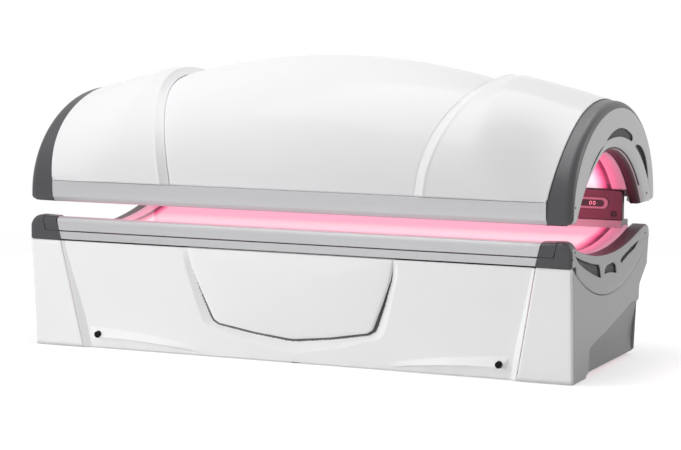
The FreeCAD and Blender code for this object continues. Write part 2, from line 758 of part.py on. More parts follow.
def bench_end_panels():
    """Lower end walls, from the corner post to the back, under the round seam."""
    top_y, _ = leaning(3 + size("post_thickness"), 0)
    low_y, low_z = leaning(3 + size("post_thickness"), -panel_drop)
    seam_back = bench_back - 35
    under = size("seam_radius") + size("seam")
    foot = low_y + size("side_foot_depth")
    seam_z = end_seam(seam_back, size("seam"))
    outline = [(top_y, end_seam(top_y, size("seam"))), (low_y, low_z), (foot, low_z),
               (foot + 12, size("side_raise")), (rear_low, size("side_raise")),
               (rear_knee, rear_knee_height),
               (rear_shoulder, rear_shoulder_height),
               (bench_back - 4, seam_z - 10), (seam_back, seam_z, under, -1)]
    body = pad("YZ_Plane", outline, size("side_thickness"))
    high, below = rear_knee_height - 57, size("side_raise") - 5
    recess = [(rear_knee + 20, high), (rear_knee - 106, high), (rear_knee - 314, high - 41),
              (rear_knee - 435, high - 66), (foot + 73, high - 97), (foot + 45, high - 107),
              (foot + 34, high - 151), (foot + 30, below), (rear_knee + 20, below)]
    sketch = new_sketch(body, "YZ_Plane")
    draw(sketch, recess)
    sketch.AttachmentOffset = FreeCAD.Placement(FreeCAD.Vector(0, 0, float(size("side_thickness"))),
                                                FreeCAD.Rotation())
    sketch.setExpression("AttachmentOffset.Base.z", size("side_thickness").text)
    feature(body, "Pocket", sketch, 3)
    place(body, side_inner)
    keep_pair(body, "bench_end_panel")


def bench_vent_plates():
    """Dark louvre plates behind the vents of the bench's end caps."""
    middle, reach = size("hollow_middle"), hollow_reach - 10
    y0, y1 = middle - reach, middle + reach
    drop, lift = size("side_thickness") + 1, 12
    radius = size("hollow_radius") + drop
    outline = [(y0, hollow(y0, drop)), (y0, end_seam(y0, -lift), size("seam_radius") - lift, 1),
               (y1, end_seam(y1, -lift)), (y1, hollow(y1, drop), radius, -1)]
    plate = pad("YZ_Plane", outline, 3)
    place(plate, side_inner - gap - 3)
    keep(group([plate, mirror_of(plate)]), "bench_vent_plates")


def end_screws(places, label):
    screws = []
    for y, z in places:
        for start in (half, -half - 1):
            screws.append(rod("x", 4, 1, start, y, z))
    keep(group(screws), label)


# ---------------------------------------------------------------- bench: back deck, console, hinge

def rear_deck():
    """Ledge behind the glass: a shelf on two low walls that stand on the rear rail."""
    reach = frame_inner + tube
    back = rear_rail_back - 24
    shelf = box(-reach, reach, console_front - 5, back, deck_low, deck_high)
    wall = box(-reach, reach, back - 4, back, rear_rail_top, deck_low)
    spring_y = hinge_back - size("lever")
    holes = []
    for side in SIDES.values():
        x = side * (hinge_reach - size("spring_offset"))
        holes.append(rod("z", size("spring_radius") + 4, deck_high - rear_rail_top + 40, x, spring_y, rear_rail_top - 20))
    keep(cut(fuse([shelf, wall]), fuse(holes)), "rear_deck")


def pill(x0, x1, z, height):
    """A slot outline with half-round ends."""
    round_off = height / 2
    return [(x0 + round_off, z - round_off), (x1 - round_off, z - round_off, round_off, 1),
            (x1, z, round_off, 1), (x1 - round_off, z + round_off), (x0 + round_off, z + round_off, round_off, 1),
            (x0, z, round_off, 1)]


def button_places():
    start = pill_start + size("pill_height") / 2
    return [start + index * size("button_pitch") for index in range(3)]


def console():
    """Control console on the deck: a hollow housing, a pill bezel, a display window and buttons."""
    reach, y, depth = console_reach, console_front, size("console_depth")
    low, high, wall = deck_high + gap, console_top, size("console_wall")
    middle = pill_middle
    outline = [(-reach, low), (reach, low), (reach, high), (-reach, high)]
    body = pad("XZ_Plane", outline, depth, reverse=True)
    chamber = [(wall - reach, low + wall), (reach - wall, low + wall), (reach - wall, high - wall),
               (wall - reach, high - wall)]
    sketch = new_sketch(body, "XZ_Plane")
    draw(sketch, chamber)
    sketch.setExpression("AttachmentOffset.Base.z", (-wall).text)
    feature(body, "Pocket", sketch, depth - 2 * wall)
    bezel = pad("XZ_Plane", pill(pill_start, pill_end, middle, size("pill_height")),
                size("bezel_thickness"))
    window = pill(window_start, window_end, middle, size("window_height"))
    pocket(bezel, "XZ_Plane", window, size("bezel_thickness"), reverse=True)
    bore = size("button_radius") + gap
    for x in button_places():
        for owner, reverse in ((body, False), (bezel, True)):
            sketch = new_sketch(owner, "XZ_Plane")
            circle(sketch, bore, x, middle)
            feature(owner, "Pocket", sketch, 2 * size("console_wall"), reverse=reverse)
    place(body, 0, y)
    place(bezel, 0, y)
    keep(body, "console_housing")
    keep(bezel, "console_bezel")
    inner = size("window_height") - 2 * gap
    window = pad("XZ_Plane", pill(window_start + gap, window_end - gap, middle, inner),
                 size("bezel_thickness") - 1)
    place(window, 0, y)
    keep(window, "display_window")
    for number, x in enumerate(button_places(), start=1):
        radius, top = size("button_radius"), size("bezel_thickness") + size("button_proud")
        body = rod("y", radius, size("button_length"), x, y - top, middle)
        keep(body, f"console_button_{number}")
    x, z = console_reach - 40, pill_middle - 41
    ring = cut(rod("y", 12.5, 4, x, y - 4, z), rod("y", 8, 2.5, x, y - 4, z))
    keep(ring, "aux_socket")


def hinge_brackets():
    """Two forks on the rear rail that carry the canopy, with the gas springs' lower studs."""
    y, z, eye = hinge_back, hinge_height, size("hinge_eye")
    back = rear_rail_back
    outline = [(back, rear_rail_height + 16), (back + 8, rear_rail_height + 16), (back + 8, z - 30),
               (y + eye, z, eye, 1), (y, z + eye, eye, 1), (y - eye, z), (back - 20, z - 60),
               (back - 20, deck_high + 4),
               (back, deck_high + 4)]
    plate, reach = size("bracket_plate"), hinge_reach
    inner = size("arm_width") / 2 + size("side_gap")
    solids = []
    for x in (reach - inner - plate, reach + inner):
        body = pad("YZ_Plane", outline, plate)
        sketch = new_sketch(body, "YZ_Plane")
        circle(sketch, size("pin_radius") + 0.02, y, z)
        feature(body, "Pocket", sketch, 4 * plate, midplane=True)
        place(body, x)
        solids.append(body)
    spring_x, foot, spring_y = reach - size("spring_offset"), spring_foot, y - size("lever") + 2
    hanger = [(rear_rail_front, rear_rail_height), (spring_y - 10, foot - 8), (spring_y + 10, foot - 8),
              (rear_rail_front + 20, rear_rail_height)]
    body = pad("YZ_Plane", hanger, 5)
    beside = size("spring_radius") + 1
    place(body, spring_x + beside)
    stud = rod("x", size("stud_radius"), beside + 6, spring_x - 6, spring_y, foot)
    solids += [body, stud]
    keep(group(solids + [mirror_of(solid) for solid in solids]), "hinge_brackets")
    length = 2 * (inner + plate) + 6
    pin = rod("x", size("pin_radius"), length, reach - length / 2, y, z)
    keep(group([pin, mirror_of(pin)]), "hinge_pins")


def gas_springs():
    """Cylinders that stand on the lower studs, and rods whose eyes push the canopy's levers."""
    x = hinge_reach - size("spring_offset")
    y = hinge_back - size("lever") + 2
    foot, radius, length = spring_foot, size("spring_radius"), size("spring_body")
    eye_bore = size("stud_radius") + size("running_gap")
    eye_ring = eye_bore + size("eye_wall")
    thick = size("eye_thickness")
    barrel = rod("z", radius, length, x, y, foot + eye_ring - 1)
    ring = rod("x", eye_ring, thick, x - thick / 2, y, foot)
    bore = rod("z", size("rod_radius") + size("running_gap"), length - 10, x, y, foot + eye_ring + 15)
    cylinder = cut(fuse([barrel, ring]), fuse([bore, rod("x", eye_bore, 2 * thick, x - thick, y, foot)]))
    keep(group([cylinder, mirror_of(cylinder)]), "gas_spring_cylinders")
    top = lever_height()
    loose_bore = size("stud_radius") + size("eye_play")
    loose_ring = loose_bore + size("eye_wall")
    start = foot + eye_ring + 30
    stem = rod("z", size("rod_radius"), top - loose_bore - 2 - start, x, y, start)
    ring = rod("x", loose_ring, thick, x - thick / 2, y, top)
    rod_piece = cut(fuse([stem, ring]), rod("x", loose_bore, 2 * thick, x - thick, y, top))
    keep_pair(rod_piece, "gas_spring_rod")


def lever_height():
    """Height of the lever's stud at rest: the lever hangs below level by its angle."""
    return hinge_height - size("lever") * sine(size("lever_angle"))


def lever_back():
    return hinge_back - size("lever") * cosine(size("lever_angle"))


def sine(angle):
    return Term(math.sin(math.radians(angle.value)), f"sin({angle.text})")


def cosine(angle):
    return Term(math.cos(math.radians(angle.value)), f"cos({angle.text})")


def canopy_hinge_arms():
    """Arms from the hinge pins up to the canopy's rear tube, each with the lever for its spring."""
    y, z, eye = hinge_back, hinge_height, size("hinge_eye")
    reach, width = hinge_reach, size("arm_width")
    tube_low = rear_foot_height + tube
    stud_y, stud_z = lever_back(), lever_height()
    boss = rod("x", eye, width, reach - width / 2, y, z)
    post = pad("YZ_Plane", [(y - 20, z), (y + 20, z), (y + 20, tube_low), (y - 20, tube_low)], width)
    place(post, reach - width / 2)
    lever = pad("YZ_Plane", [(y, z - 12), (y, z + 12), (stud_y - 2, stud_z + 9), (stud_y - 9, stud_z),
                             (stud_y - 2, stud_z - 9)], width)
    place(lever, reach - width / 2)
    stud_end = reach - size("spring_offset") - size("eye_thickness")
    stud = rod("x", size("stud_radius"), reach - stud_end, stud_end, stud_y, stud_z)
    bore = rod("x", size("pin_radius") + size("running_gap"), 2 * width, reach - width, y, z)
    arm = cut(fuse([boss, post, lever, stud]), bore)
    keep(group([arm, mirror_of(arm)]), "canopy_hinge_arms")


# ---------------------------------------------------------------- canopy: frame, lamps and glass

def arch_band(inner, outer, low_front, low_back, length, midplane=True):
    """A curved plate about the arch centre between two radii, cut level at its two feet."""
    middle = size("arch_middle")
    outline = [(middle - arch_reach(outer, low_front), low_front),
               (middle - arch_reach(inner, low_front), low_front, inner, -1),
               (middle + arch_reach(inner, low_back), low_back),
               (middle + arch_reach(outer, low_back), low_back, outer, 1)]
    return pad("YZ_Plane", outline, length, midplane=midplane)


def glass_outer():
    return arch_radius + size("glass_thickness")


def lamp_circle():
    return glass_outer() + size("lamp_gap") + size("lamp_radius")


def reflector_radius():
    return lamp_circle() + size("lamp_radius") + size("reflector_gap")


def canopy_glass():
    low_back = console_top + 9
    body = arch_band(arch_radius, glass_outer(), rear_foot_height, low_back,
                     2 * (flange_inner - gap))
    keep(body, "canopy_acrylic")


def canopy_lamp_set():
    places = []
    number = count("canopy_lamp_count")
    step = math.degrees(float(size("lamp_pitch")) / float(lamp_circle()))
    for index in range(number):
        angle = Term(step, "(1 rad * Sizes.lamp_pitch / " + lamp_circle().text + ")") * (index - (number - 1) / 2)
        places.append((size("arch_middle") + lamp_circle() * sine(angle),
                       arch_centre + lamp_circle() * cosine(angle)))
    holders = lamps_and_holders(places, "canopy")
    low = rail_high + size("front_tube") + 4
    foot, edge = rail_high + 4, lamp_circle() + size("lamp_radius") + size("lamp_gap")
    for side in SIDES.values():
        plate = arch_band(glass_outer() + 1, edge, foot, foot, size("holder_plate"), False)
        place(plate, side * (frame_inner - size("holder_plate") / 2) - size("holder_plate") / 2)
        holders.append(plate)
    keep(group(holders), "canopy_lamp_holders")
    length = 2 * (frame_inner - gap)
    sheet_metal = arch_band(reflector_radius(), reflector_radius() + size("reflector_sheet"), low - 1, low - 1, length)
    keep(sheet_metal, "canopy_reflector")


def rib_radius():
    return reflector_radius() + size("reflector_sheet") + size("rib_gap")


def canopy_frame():
    """Front tube on the rail, rear tube over the hinges, four arched ribs and the fan's plate."""
    reach = shell_end - 10
    front_y = front + size("wing_proud") + size("shell_thickness") + 2
    tube_low = rear_foot_height + tube
    tube_y = hinge_back - 20
    front_high = rail_high + size("front_tube")
    solids = [square_tube(-reach, reach, front_y, front_y + size("front_tube"), rail_high, front_high, "x"),
              square_tube(-reach, reach, tube_y, tube_y + tube, tube_low, tube_low + tube, "x")]
    inner, outer = rib_radius(), rib_radius() + size("rib_depth")
    thick = size("rib_thickness")
    for x in (-reach, -size("frame_middle"), size("frame_middle") - thick, reach - thick):
        band = arch_band(inner, outer, front_high, tube_low + tube, thick, False)
        place(band, x)
        front_foot = box(x, x + thick, front_y, size("arch_middle") - arch_reach(inner, front_high),
                         front_high, front_high + 16)
        rear_foot = box(x, x + thick, size("arch_middle") + arch_reach(inner, tube_low + tube),
                        tube_y + tube, tube_low + tube, tube_low + tube + 16)
        solids.append(fuse([band, front_foot, rear_foot]))
    top = arch_centre + outer
    plate = box(-size("frame_middle"), size("frame_middle"), size("arch_middle") - 130,
                size("arch_middle") + 130, top, top + 3)
    intake = rod("z", size("fan_radius") - 2, 20, 0, size("arch_middle"), top - 5)
    solids.append(cut(plate, intake))
    keep(group(solids), "canopy_frame")


def canopy_front_profile():
    """Hollow aluminium rail along the canopy's lower front edge."""
    depth, round_off = size("rail_depth"), size("rail_round")
    outline = [(front, canopy_low + round_off, round_off, 1), (front + round_off, canopy_low),
               (front + depth, canopy_low), (front + depth, canopy_low + 22), (front + depth, rail_high),
               (front, rail_high)]
    body = pad("YZ_Plane", outline, 2 * (shell_end - gap), midplane=True)
    wall = 4
    chamber = [(front + wall, canopy_low + round_off), (front + depth - wall, canopy_low + round_off),
               (front + depth - wall, rail_high - wall), (front + wall, rail_high - wall)]
    pocket(body, "YZ_Plane", chamber, 2 * half, midplane=True)
    keep(body, "canopy_front_profile")


# ---------------------------------------------------------------- canopy: shells and end caps

def dome_outline(x, reach_front, reach_back, shoulder, crest, low_front, low_back, inset=0):
    """Edges of a dome section at x: foot, shoulder, two quarter ellipses to the crest, and down."""
    y = float(size("crest_offset"))
    y0, y1 = y - reach_front + inset, y + reach_back - inset
    rise = crest - shoulder - inset
    spots = [FreeCAD.Vector(x, y0, low_front), FreeCAD.Vector(x, y0, shoulder),
             FreeCAD.Vector(x, y, shoulder + rise), FreeCAD.Vector(x, y1, shoulder),
             FreeCAD.Vector(x, y1, low_back)]
    edges = [Part.LineSegment(spots[0], spots[1]).toShape()]
    for first, last, reach in ((spots[1], spots[2], reach_front), (spots[2], spots[3], reach_back)):
        edges.append(quarter_ellipse(FreeCAD.Vector(x, y, shoulder), first, last))
    edges.append(Part.LineSegment(spots[3], spots[4]).toShape())
    return edges, spots


def quarter_ellipse(centre, first, last):
    """Quarter ellipse in a plane of constant x from first to last, as a spline curve."""
    steps = 12
    points = []
    for step in range(steps + 1):
        turn = math.pi / 2 * step / steps
        points.append(centre + (first - centre) * math.cos(turn) + (last - centre) * math.sin(turn))
    curve = Part.BSplineCurve()
    curve.interpolate(points)
    return curve.toShape()


def shell_section(x, reach_front, reach_back, crest):
    """Closed wire of a shell section: the outer dome and the inner dome a wall inside it."""
    shoulder = float(shoulder_height)
    low = float(rail_high + gap)
    back = float(rear_foot_height)
    outer, ends = dome_outline(x, reach_front, reach_back, shoulder, crest, low, back)
    wall = float(size("shell_thickness"))
    inner, inner_ends = dome_outline(x, reach_front, reach_back, shoulder, crest, low, back, wall)
    closing = [Part.LineSegment(ends[4], inner_ends[4]).toShape(), Part.LineSegment(inner_ends[0], ends[0]).toShape()]
    return Part.Wire(Part.__sortEdges__(outer + [closing[0]] + inner + [closing[1]]))


def seam_blade(shift):
    """Block over the middle of the canopy whose sides follow the seams, moved out by shift."""
    low, high = float(size("seam_reach_low")) + shift, float(size("seam_reach_high")) + shift
    base, top = float(rear_foot_height) - 50, float(seam_top)
    start = float(rail_high)
    middle = FreeCAD.Vector(low + 0.32 * (high - low), 0, (start + top) / 2)
    over = 200
    slope = (high - low) / (top - start) * 1.6
    edges = []
    for side in (1, -1):
        spots = [FreeCAD.Vector(side * low, 0, base), FreeCAD.Vector(side * low, 0, start),
                 FreeCAD.Vector(side * middle.x, 0, middle.z), FreeCAD.Vector(side * high, 0, top),
                 FreeCAD.Vector(side * (high + over * slope), 0, top + over)]
        edges.append(Part.LineSegment(spots[0], spots[1]).toShape())
        edges.append(Part.Arc(spots[1], spots[2], spots[3]).toShape())
        edges.append(Part.LineSegment(spots[3], spots[4]).toShape())
    ends = [(edges[0].Vertexes[0].Point, edges[3].Vertexes[0].Point),
            (edges[2].Vertexes[1].Point, edges[5].Vertexes[1].Point)]
    edges += [Part.LineSegment(*pair).toShape() for pair in ends]
    face = Part.Face(Part.Wire(Part.__sortEdges__(edges)))
    blade_length = 2000
    blade = face.extrude(FreeCAD.Vector(0, blade_length, 0))
    blade.translate(FreeCAD.Vector(0, -blade_length / 2, 0))
    return blade


def wing_crest(reach):
    """Crest height of a wing: a spline through its inner shoulder, its peak and its end."""
    peak, peak_reach = float(wing_peak), float(size("wing_peak_reach"))
    end, end_reach = float(end_height), float(shell_end)
    if reach <= peak_reach:
        return peak - 6 * ((peak_reach - reach) / 150) ** 2
    share = (reach - peak_reach) / (end_reach - peak_reach)
    return peak - (peak - end) * (0.25 * share * share + 0.75 * share)


def canopy_shells():
    """White covers: a dome over the middle and a wing at each end that stands proud of it."""
    offset = float(size("crest_offset"))
    depth = float(size("canopy_depth")) / 2
    wing_front = offset - float(front) + 1
    wing_back = depth - offset
    proud = float(size("wing_proud"))
    high = float(size("seam_reach_high"))
    limit = high + 40
    sections = []
    for step in range(-8, 9):
        x = limit * step / 8
        crest = float(crest_height) - float(size("crest_bow")) * (x / high) ** 2
        sections.append(shell_section(x, wing_front - proud, wing_back - proud, crest))
    dome = Part.makeLoft(sections, True, False)
    coded("canopy_shell_center", dome.common(seam_blade(-0.5)))
    start, end = float(size("seam_reach_low")) - 20, float(shell_end - gap)
    sections = []
    for step in range(9):
        x = start + (end - start) * step / 8
        sections.append(shell_section(x, wing_front, wing_back, wing_crest(x)))
    wing = Part.makeLoft(sections, True, False).cut(seam_blade(0.5))
    coded("canopy_wing_right", wing)
    coded("canopy_wing_left", wing.mirror(FreeCAD.Vector(), FreeCAD.Vector(1, 0, 0)))


def cap_section(x, share, inset, inner=0):
    """Section of an end cap: shoulder and crest sink from the shell's to the outer edge's."""
    shoulder = blend(shoulder_height, cap_shoulder, share)
    crest = blend(end_height, cap_height, share)
    offset = float(size("crest_offset"))
    depth = float(size("canopy_depth")) / 2
    low_front, low_back = float(canopy_low), float(rear_foot_height)
    if inner:
        low_front, low_back = low_front - 60, low_back - 60
    edges, ends = dome_outline(x, depth + offset, depth - offset, shoulder, crest, low_front, low_back,
                               inset + inner)
    edges.append(Part.LineSegment(ends[4], ends[0]).toShape())
    return Part.Wire(Part.__sortEdges__(edges))


def blend(first, last, share):
    return float(first) * (1 - share) + float(last) * share


def polar(radius, angle, x):
    """A point about the arch centre, its angle in degrees from straight up towards the back."""
    turn = math.radians(angle)
    return FreeCAD.Vector(x, float(size("arch_middle")) + radius * math.sin(turn),
                          float(arch_centre) + radius * math.cos(turn))


def arc_slot(outer, inner, x, length):
    """A tapered slot between two arcs that share their ends or nearly so, extruded along X."""
    arch = float(arch_radius)
    outer = [polar(arch + lift, angle, x) for lift, angle in outer]
    inner = [polar(arch + lift, angle, x) for lift, angle in inner]
    edges = [Part.Arc(*outer).toShape(), Part.Arc(*inner).toShape()]
    for index in (0, 2):
        if outer[index].distanceToPoint(inner[index]) > 0.1:
            edges.append(Part.LineSegment(outer[index], inner[index]).toShape())
    face = Part.Face(Part.Wire(Part.__sortEdges__(edges)))
    return face.extrude(FreeCAD.Vector(length, 0, 0))


CAP_VENTS = (
    (((52, -8.6), (90, 9.8), (101, 25.5)), ((46, -6.5), (55, 8.4), (78, 25.6))),
    (((81, 29.7), (131, 39.5), (99, 53.1)), ((80, 29.7), (93, 44.9), (99, 53.1))),
    (((40, -9.6), (33, -22), (15, -35.7)), ((37, -16.7), (26, -19.5), (15, -35.7))),
)


def canopy_end_caps():
    """Grey hoods at the canopy's ends: a sinking hood, an end wall with vents and the arch's flange."""
    wall, ridge = float(size("cap_wall")), float(size("cap_ridge"))
    start, end = float(shell_end), float(half)
    stations = [(start, 0, 0), ((start + end - ridge) / 2, 0.4, 0), (end - ridge, 0.8, 0)]
    for turn in (30, 60, 90):
        angle = math.radians(turn)
        stations.append((end - ridge + ridge * math.sin(angle), 0.8 + 0.2 * math.sin(angle),
                         ridge * (1 - math.cos(angle))))
    hood = Part.makeLoft([cap_section(*station) for station in stations], True, True)
    inside = [(start - 1, 0, 0, wall), (end - ridge, 0.8, 0, wall), (end - wall, 1, ridge * 0.5, wall)]
    hood = hood.cut(Part.makeLoft([cap_section(*station) for station in inside], True, True))
    arch, flange = float(arch_radius), float(size("side_flange"))
    middle, centre = float(size("arch_middle")), float(arch_centre)
    along = FreeCAD.Vector(1, 0, 0)
    foot = FreeCAD.Vector(start - 10, middle, centre)
    tunnel = Part.makeCylinder(arch, end - start + 20, foot, along)
    tunnel = tunnel.fuse(Part.makeBox(end - start + 20, 2 * arch, 400, FreeCAD.Vector(start - 10, middle - arch, centre - 400)))
    ring_start = FreeCAD.Vector(end - wall - flange, middle, centre)
    ring = Part.makeCylinder(arch + wall, wall + flange, ring_start, along)
    low = float(canopy_low) + 12
    ring = ring.common(Part.makeBox(end, 4 * arch, 2 * arch, FreeCAD.Vector(0, middle - 2 * arch, low)))
    cap = hood.fuse(ring).cut(tunnel)
    for outer, inner in CAP_VENTS:
        cap = cap.cut(arc_slot(outer, inner, end - 2 * wall, 3 * wall))
    solid = max(cap.Solids, key=lambda piece: piece.Volume)
    coded("canopy_cap_right", solid)
    coded("canopy_cap_left", solid.mirror(FreeCAD.Vector(), along))


def canopy_vent_plates():
    """Dark louvre plates behind the vents of the canopy's end caps."""
    low = canopy_low + size("louvre_rise")
    plate = arch_band(arch_radius + size("cap_wall") + 1, arch_radius + size("louvre_reach"),
                      low + size("louvre_rise"), low, size("louvre_thickness"), False)
    place(plate, half - size("cap_wall") - gap - size("louvre_thickness"))
    keep(group([plate, mirror_of(plate)]), "canopy_vent_plates")


# ---------------------------------------------------------------- fans

def fan_housing(x, y, z):
    """Ring with three spokes and an axle that carries the rotor."""
    radius, wall, depth = size("fan_radius"), size("fan_wall"), size("fan_depth")
    ring = cut(rod("z", radius + wall, depth, x, y, z), rod("z", radius, depth + 2, x, y, z - 1))
    hub = rod("z", size("fan_hub"), 4, x, y, z)
    parts = [hub, rod("z", size("fan_axle"), depth - 6, x, y, z)]
    for angle in (0, 120, 240):
        spoke = box(0, radius + wall / 2, -4, 4, 0, 4)
        spoke.Placement.Rotation = FreeCAD.Rotation(FreeCAD.Vector(0, 0, 1), angle)
        place(spoke, x + 4 * math.sin(math.radians(angle)), y - 4 * math.cos(math.radians(angle)), z)
        parts.append(spoke)
    return fuse([ring] + parts)


def fan_rotor(x, y, z, label):
    """Hub and pitched blades; the hub's bore runs on the housing's axle."""
    hub, radius = size("fan_hub"), size("fan_radius")
    height = size("fan_depth") - 14
    floor = z + 4 + gap
    parts = [rod("z", hub, height, x, y, floor)]
    for index in range(count("blade_count")):
        blade = box(0, radius - 3, -size("blade_thickness") / 2, size("blade_thickness") / 2, 4, height - 2)
        turn = 360 * index / count("blade_count")
        blade.Placement.Rotation = FreeCAD.Rotation(FreeCAD.Vector(0, 0, 1), turn).multiply(
            FreeCAD.Rotation(FreeCAD.Vector(1, 0, 0), 32))
        swing = 0.53 * float(height) / 2
        place(blade, x - swing * math.sin(math.radians(turn)), y + swing * math.cos(math.radians(turn)), floor + 2)
        parts.append(blade)
    bore = rod("z", size("fan_axle") + size("running_gap"), 2 * size("fan_depth"), x, y, z - 5)
    keep(cut(fuse(parts), bore), label)


def fans():
    y = size("fan_back")
    keep(group([fan_housing(side * size("fan_reach"), y, tray_top) for side in SIDES.values()]),
         "bench_fan_housings")
    for name, side in SIDES.items():
        fan_rotor(side * size("fan_reach"), y, tray_top, f"bench_fan_rotor_{name}")
    middle, top = size("arch_middle"), arch_centre + rib_radius() + size("rib_depth") + 3
    keep(fan_housing(term(0), middle, top), "canopy_fan_housing")
    fan_rotor(term(0), middle, top, "canopy_fan_rotor")


# ---------------------------------------------------------------- assembly

def build():
    base_frame()
    levelling_feet()
    base_tray()
    ballasts()
    power_box()
    rear_panel()
    mains_gland()
    bench_glass()
    bench_lamp_set()
    bench_top_profile()
    front_strip()
    corner_caps()
    corner_posts()
    front_panel()
    shield_panel()
    panel_locks()
    bench_end_caps()
    bench_end_panels()
    bench_vent_plates()
    end_screws(((front + 40, bench_top - 35), (front + 13, bench_top - 59), (bench_back - 57, bench_top - 51)),
               "bench_end_screws")
    rear_deck()
    console()
    hinge_brackets()
    gas_springs()
    canopy_hinge_arms()
    canopy_frame()
    canopy_glass()
    canopy_lamp_set()
    canopy_front_profile()
    canopy_shells()
    canopy_end_caps()
    canopy_vent_plates()
    end_screws(((size("canopy_depth") / 2 - 120, canopy_low + 49), (front + 34, canopy_low + 68)),
               "canopy_end_screws")
    fans()


def export():
    doc.recompute()
    failed = [f"{item.Name} in {item.getParentGeoFeatureGroup().Name if item.getParentGeoFeatureGroup() else '-'}"
              for item in doc.Objects if "Invalid" in item.State or "Error" in item.State]
    failed += [piece.Label for piece in PIECES
               if piece.Shape.isNull() or not piece.Shape.isValid() or not piece.Shape.Solids]
    if failed:
        raise ValueError("did not build: " + ", ".join(failed))
    os.makedirs("parts", exist_ok=True)
    for piece in PIECES:
        piece.Shape.exportStep(f"parts/{piece.Label}.step")
    print(len(PIECES), "pieces written")


build()
export()
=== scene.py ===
import math
import bmesh
import bpy
import numpy as np
from mathutils import Matrix, Vector


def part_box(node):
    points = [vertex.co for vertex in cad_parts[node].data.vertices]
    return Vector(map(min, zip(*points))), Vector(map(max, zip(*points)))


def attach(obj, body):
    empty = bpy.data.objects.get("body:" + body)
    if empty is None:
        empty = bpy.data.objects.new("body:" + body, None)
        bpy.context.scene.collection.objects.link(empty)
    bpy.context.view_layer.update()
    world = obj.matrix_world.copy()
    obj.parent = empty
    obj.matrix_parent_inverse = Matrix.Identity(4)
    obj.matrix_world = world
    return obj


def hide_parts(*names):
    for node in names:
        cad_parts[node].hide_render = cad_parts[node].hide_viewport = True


# Clamshell tanning bed: a bench and an arched canopy, lengths in metres.
# +X runs along the bed, -Y is the open front, +Z is up.

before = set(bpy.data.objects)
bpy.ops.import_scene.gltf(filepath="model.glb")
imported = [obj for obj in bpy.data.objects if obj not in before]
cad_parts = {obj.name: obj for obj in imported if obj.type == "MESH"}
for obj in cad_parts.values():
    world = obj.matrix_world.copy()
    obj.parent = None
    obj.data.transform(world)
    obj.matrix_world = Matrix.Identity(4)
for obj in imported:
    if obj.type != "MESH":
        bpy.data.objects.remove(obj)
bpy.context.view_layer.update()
print("frame loaded")

mm = 0.001
sides = {"left": -1, "right": 1}


# places read from the frame

def low(node):
    # the least corner of a node's box
    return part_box(node)[0]


def high(node):
    # the greatest corner of a node's box
    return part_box(node)[1]


half = high("corner_post_right").x
front = low("bench_top_profile").y
canopyFront = low("canopy_front_profile").y
benchTop = high("bench_top_profile").z
profileLow = low("bench_top_profile").z
stripLow, stripHigh = low("front_strip").z, high("front_strip").z
panelHigh = stripLow - 5 * mm
canopyLow, railHigh = low("canopy_front_profile").z, high("canopy_front_profile").z
shellEnd = low("canopy_cap_right").x
rearFoot = low("canopy_wing_right").z
glassEnd = high("bench_acrylic").x
lampEnd = high("bench_lamps").x
leanAngle = math.atan(39 / 428)  # the front leans back by 39 mm over its 428 mm
seams = {"capLean": 0.034, "capRise": 0.30, "cornerFoot": 0.982, "cornerLean": 0.2333, "joint": 0.0005}


def capSeam(z):
    # where the canopy shell meets its end cap: upright along the rail, then leaning out by a quarter sine
    share = np.clip((z - railHigh) / seams["capRise"], 0, 1)
    return shellEnd + seams["capLean"] * np.sin(share * math.pi / 2)


def cornerSeam(z):
    # where the bench rail meets its corner cap: leans out from the strip to the top
    return seams["cornerFoot"] + seams["cornerLean"] * (z - stripLow)


# shapes

def smooth(t):
    # 0 below 0, 1 above 1 and 3t^2 - 2t^3 between
    t = np.clip(t, 0, 1)
    return t * t * (3 - 2 * t)


def between(a, b, t):
    # a at 0 and b at 1, in a straight line
    return a + (b - a) * t


def rollDrop(distance, radius):
    # how far an edge rolled to a radius lies back at a distance from its end: r - sqrt(r^2 - (r - d)^2)
    near = np.clip(radius - distance, 0, radius)
    return radius - np.sqrt(radius ** 2 - near ** 2)


def arcHeight(y, middle, lowest, radius):
    # height of an upward-curved arc over y
    return lowest + radius - np.sqrt(radius ** 2 - (y - middle) ** 2)


def xyz(x, y, z):
    # points from three arrays, each repeated where the others run on
    return np.stack(np.broadcast_arrays(x, y, z), -1)


def putMesh(name, points, faces, smoothed=True):
    # a mesh object of points and faces, standing at the origin
    mesh = bpy.data.meshes.new(name)
    mesh.from_pydata(np.asarray(points, float).reshape(-1, 3).tolist(), [], faces)
    mesh.update()
    mesh.shade_smooth() if smoothed else mesh.shade_flat()
    obj = bpy.data.objects.new(name, mesh)
    bpy.context.scene.collection.objects.link(obj)
    return obj


def gridFaces(rows, cols, closeRows=False, closeCols=False, turn=False):
    # quads between neighbouring rows and columns of a grid, wrapping round where it is closed
    i, j = np.meshgrid(np.arange(rows if closeRows else rows - 1), np.arange(cols if closeCols else cols - 1),
                       indexing="ij")
    a, b = i * cols + j, i * cols + (j + 1) % cols
    c, d = (i + 1) % rows * cols + (j + 1) % cols, (i + 1) % rows * cols + j
    return np.stack((d, c, b, a) if turn else (a, b, c, d), -1).reshape(-1, 4)


def gridMesh(name, points, closeRows=False, closeCols=False, turn=False, caps=False):
    # a surface over a grid of points (rows, columns, 3); caps close a tube's two end loops
    points = np.asarray(points, float)
    rows, cols = points.shape[:2]
    faces = gridFaces(rows, cols, closeRows, closeCols, turn).tolist()
    if caps:
        first, last = list(range(cols)), list(range((rows - 1) * cols, rows * cols))
        faces += [first[::-1], last] if turn else [first, last[::-1]]
    return putMesh(name, points, faces)


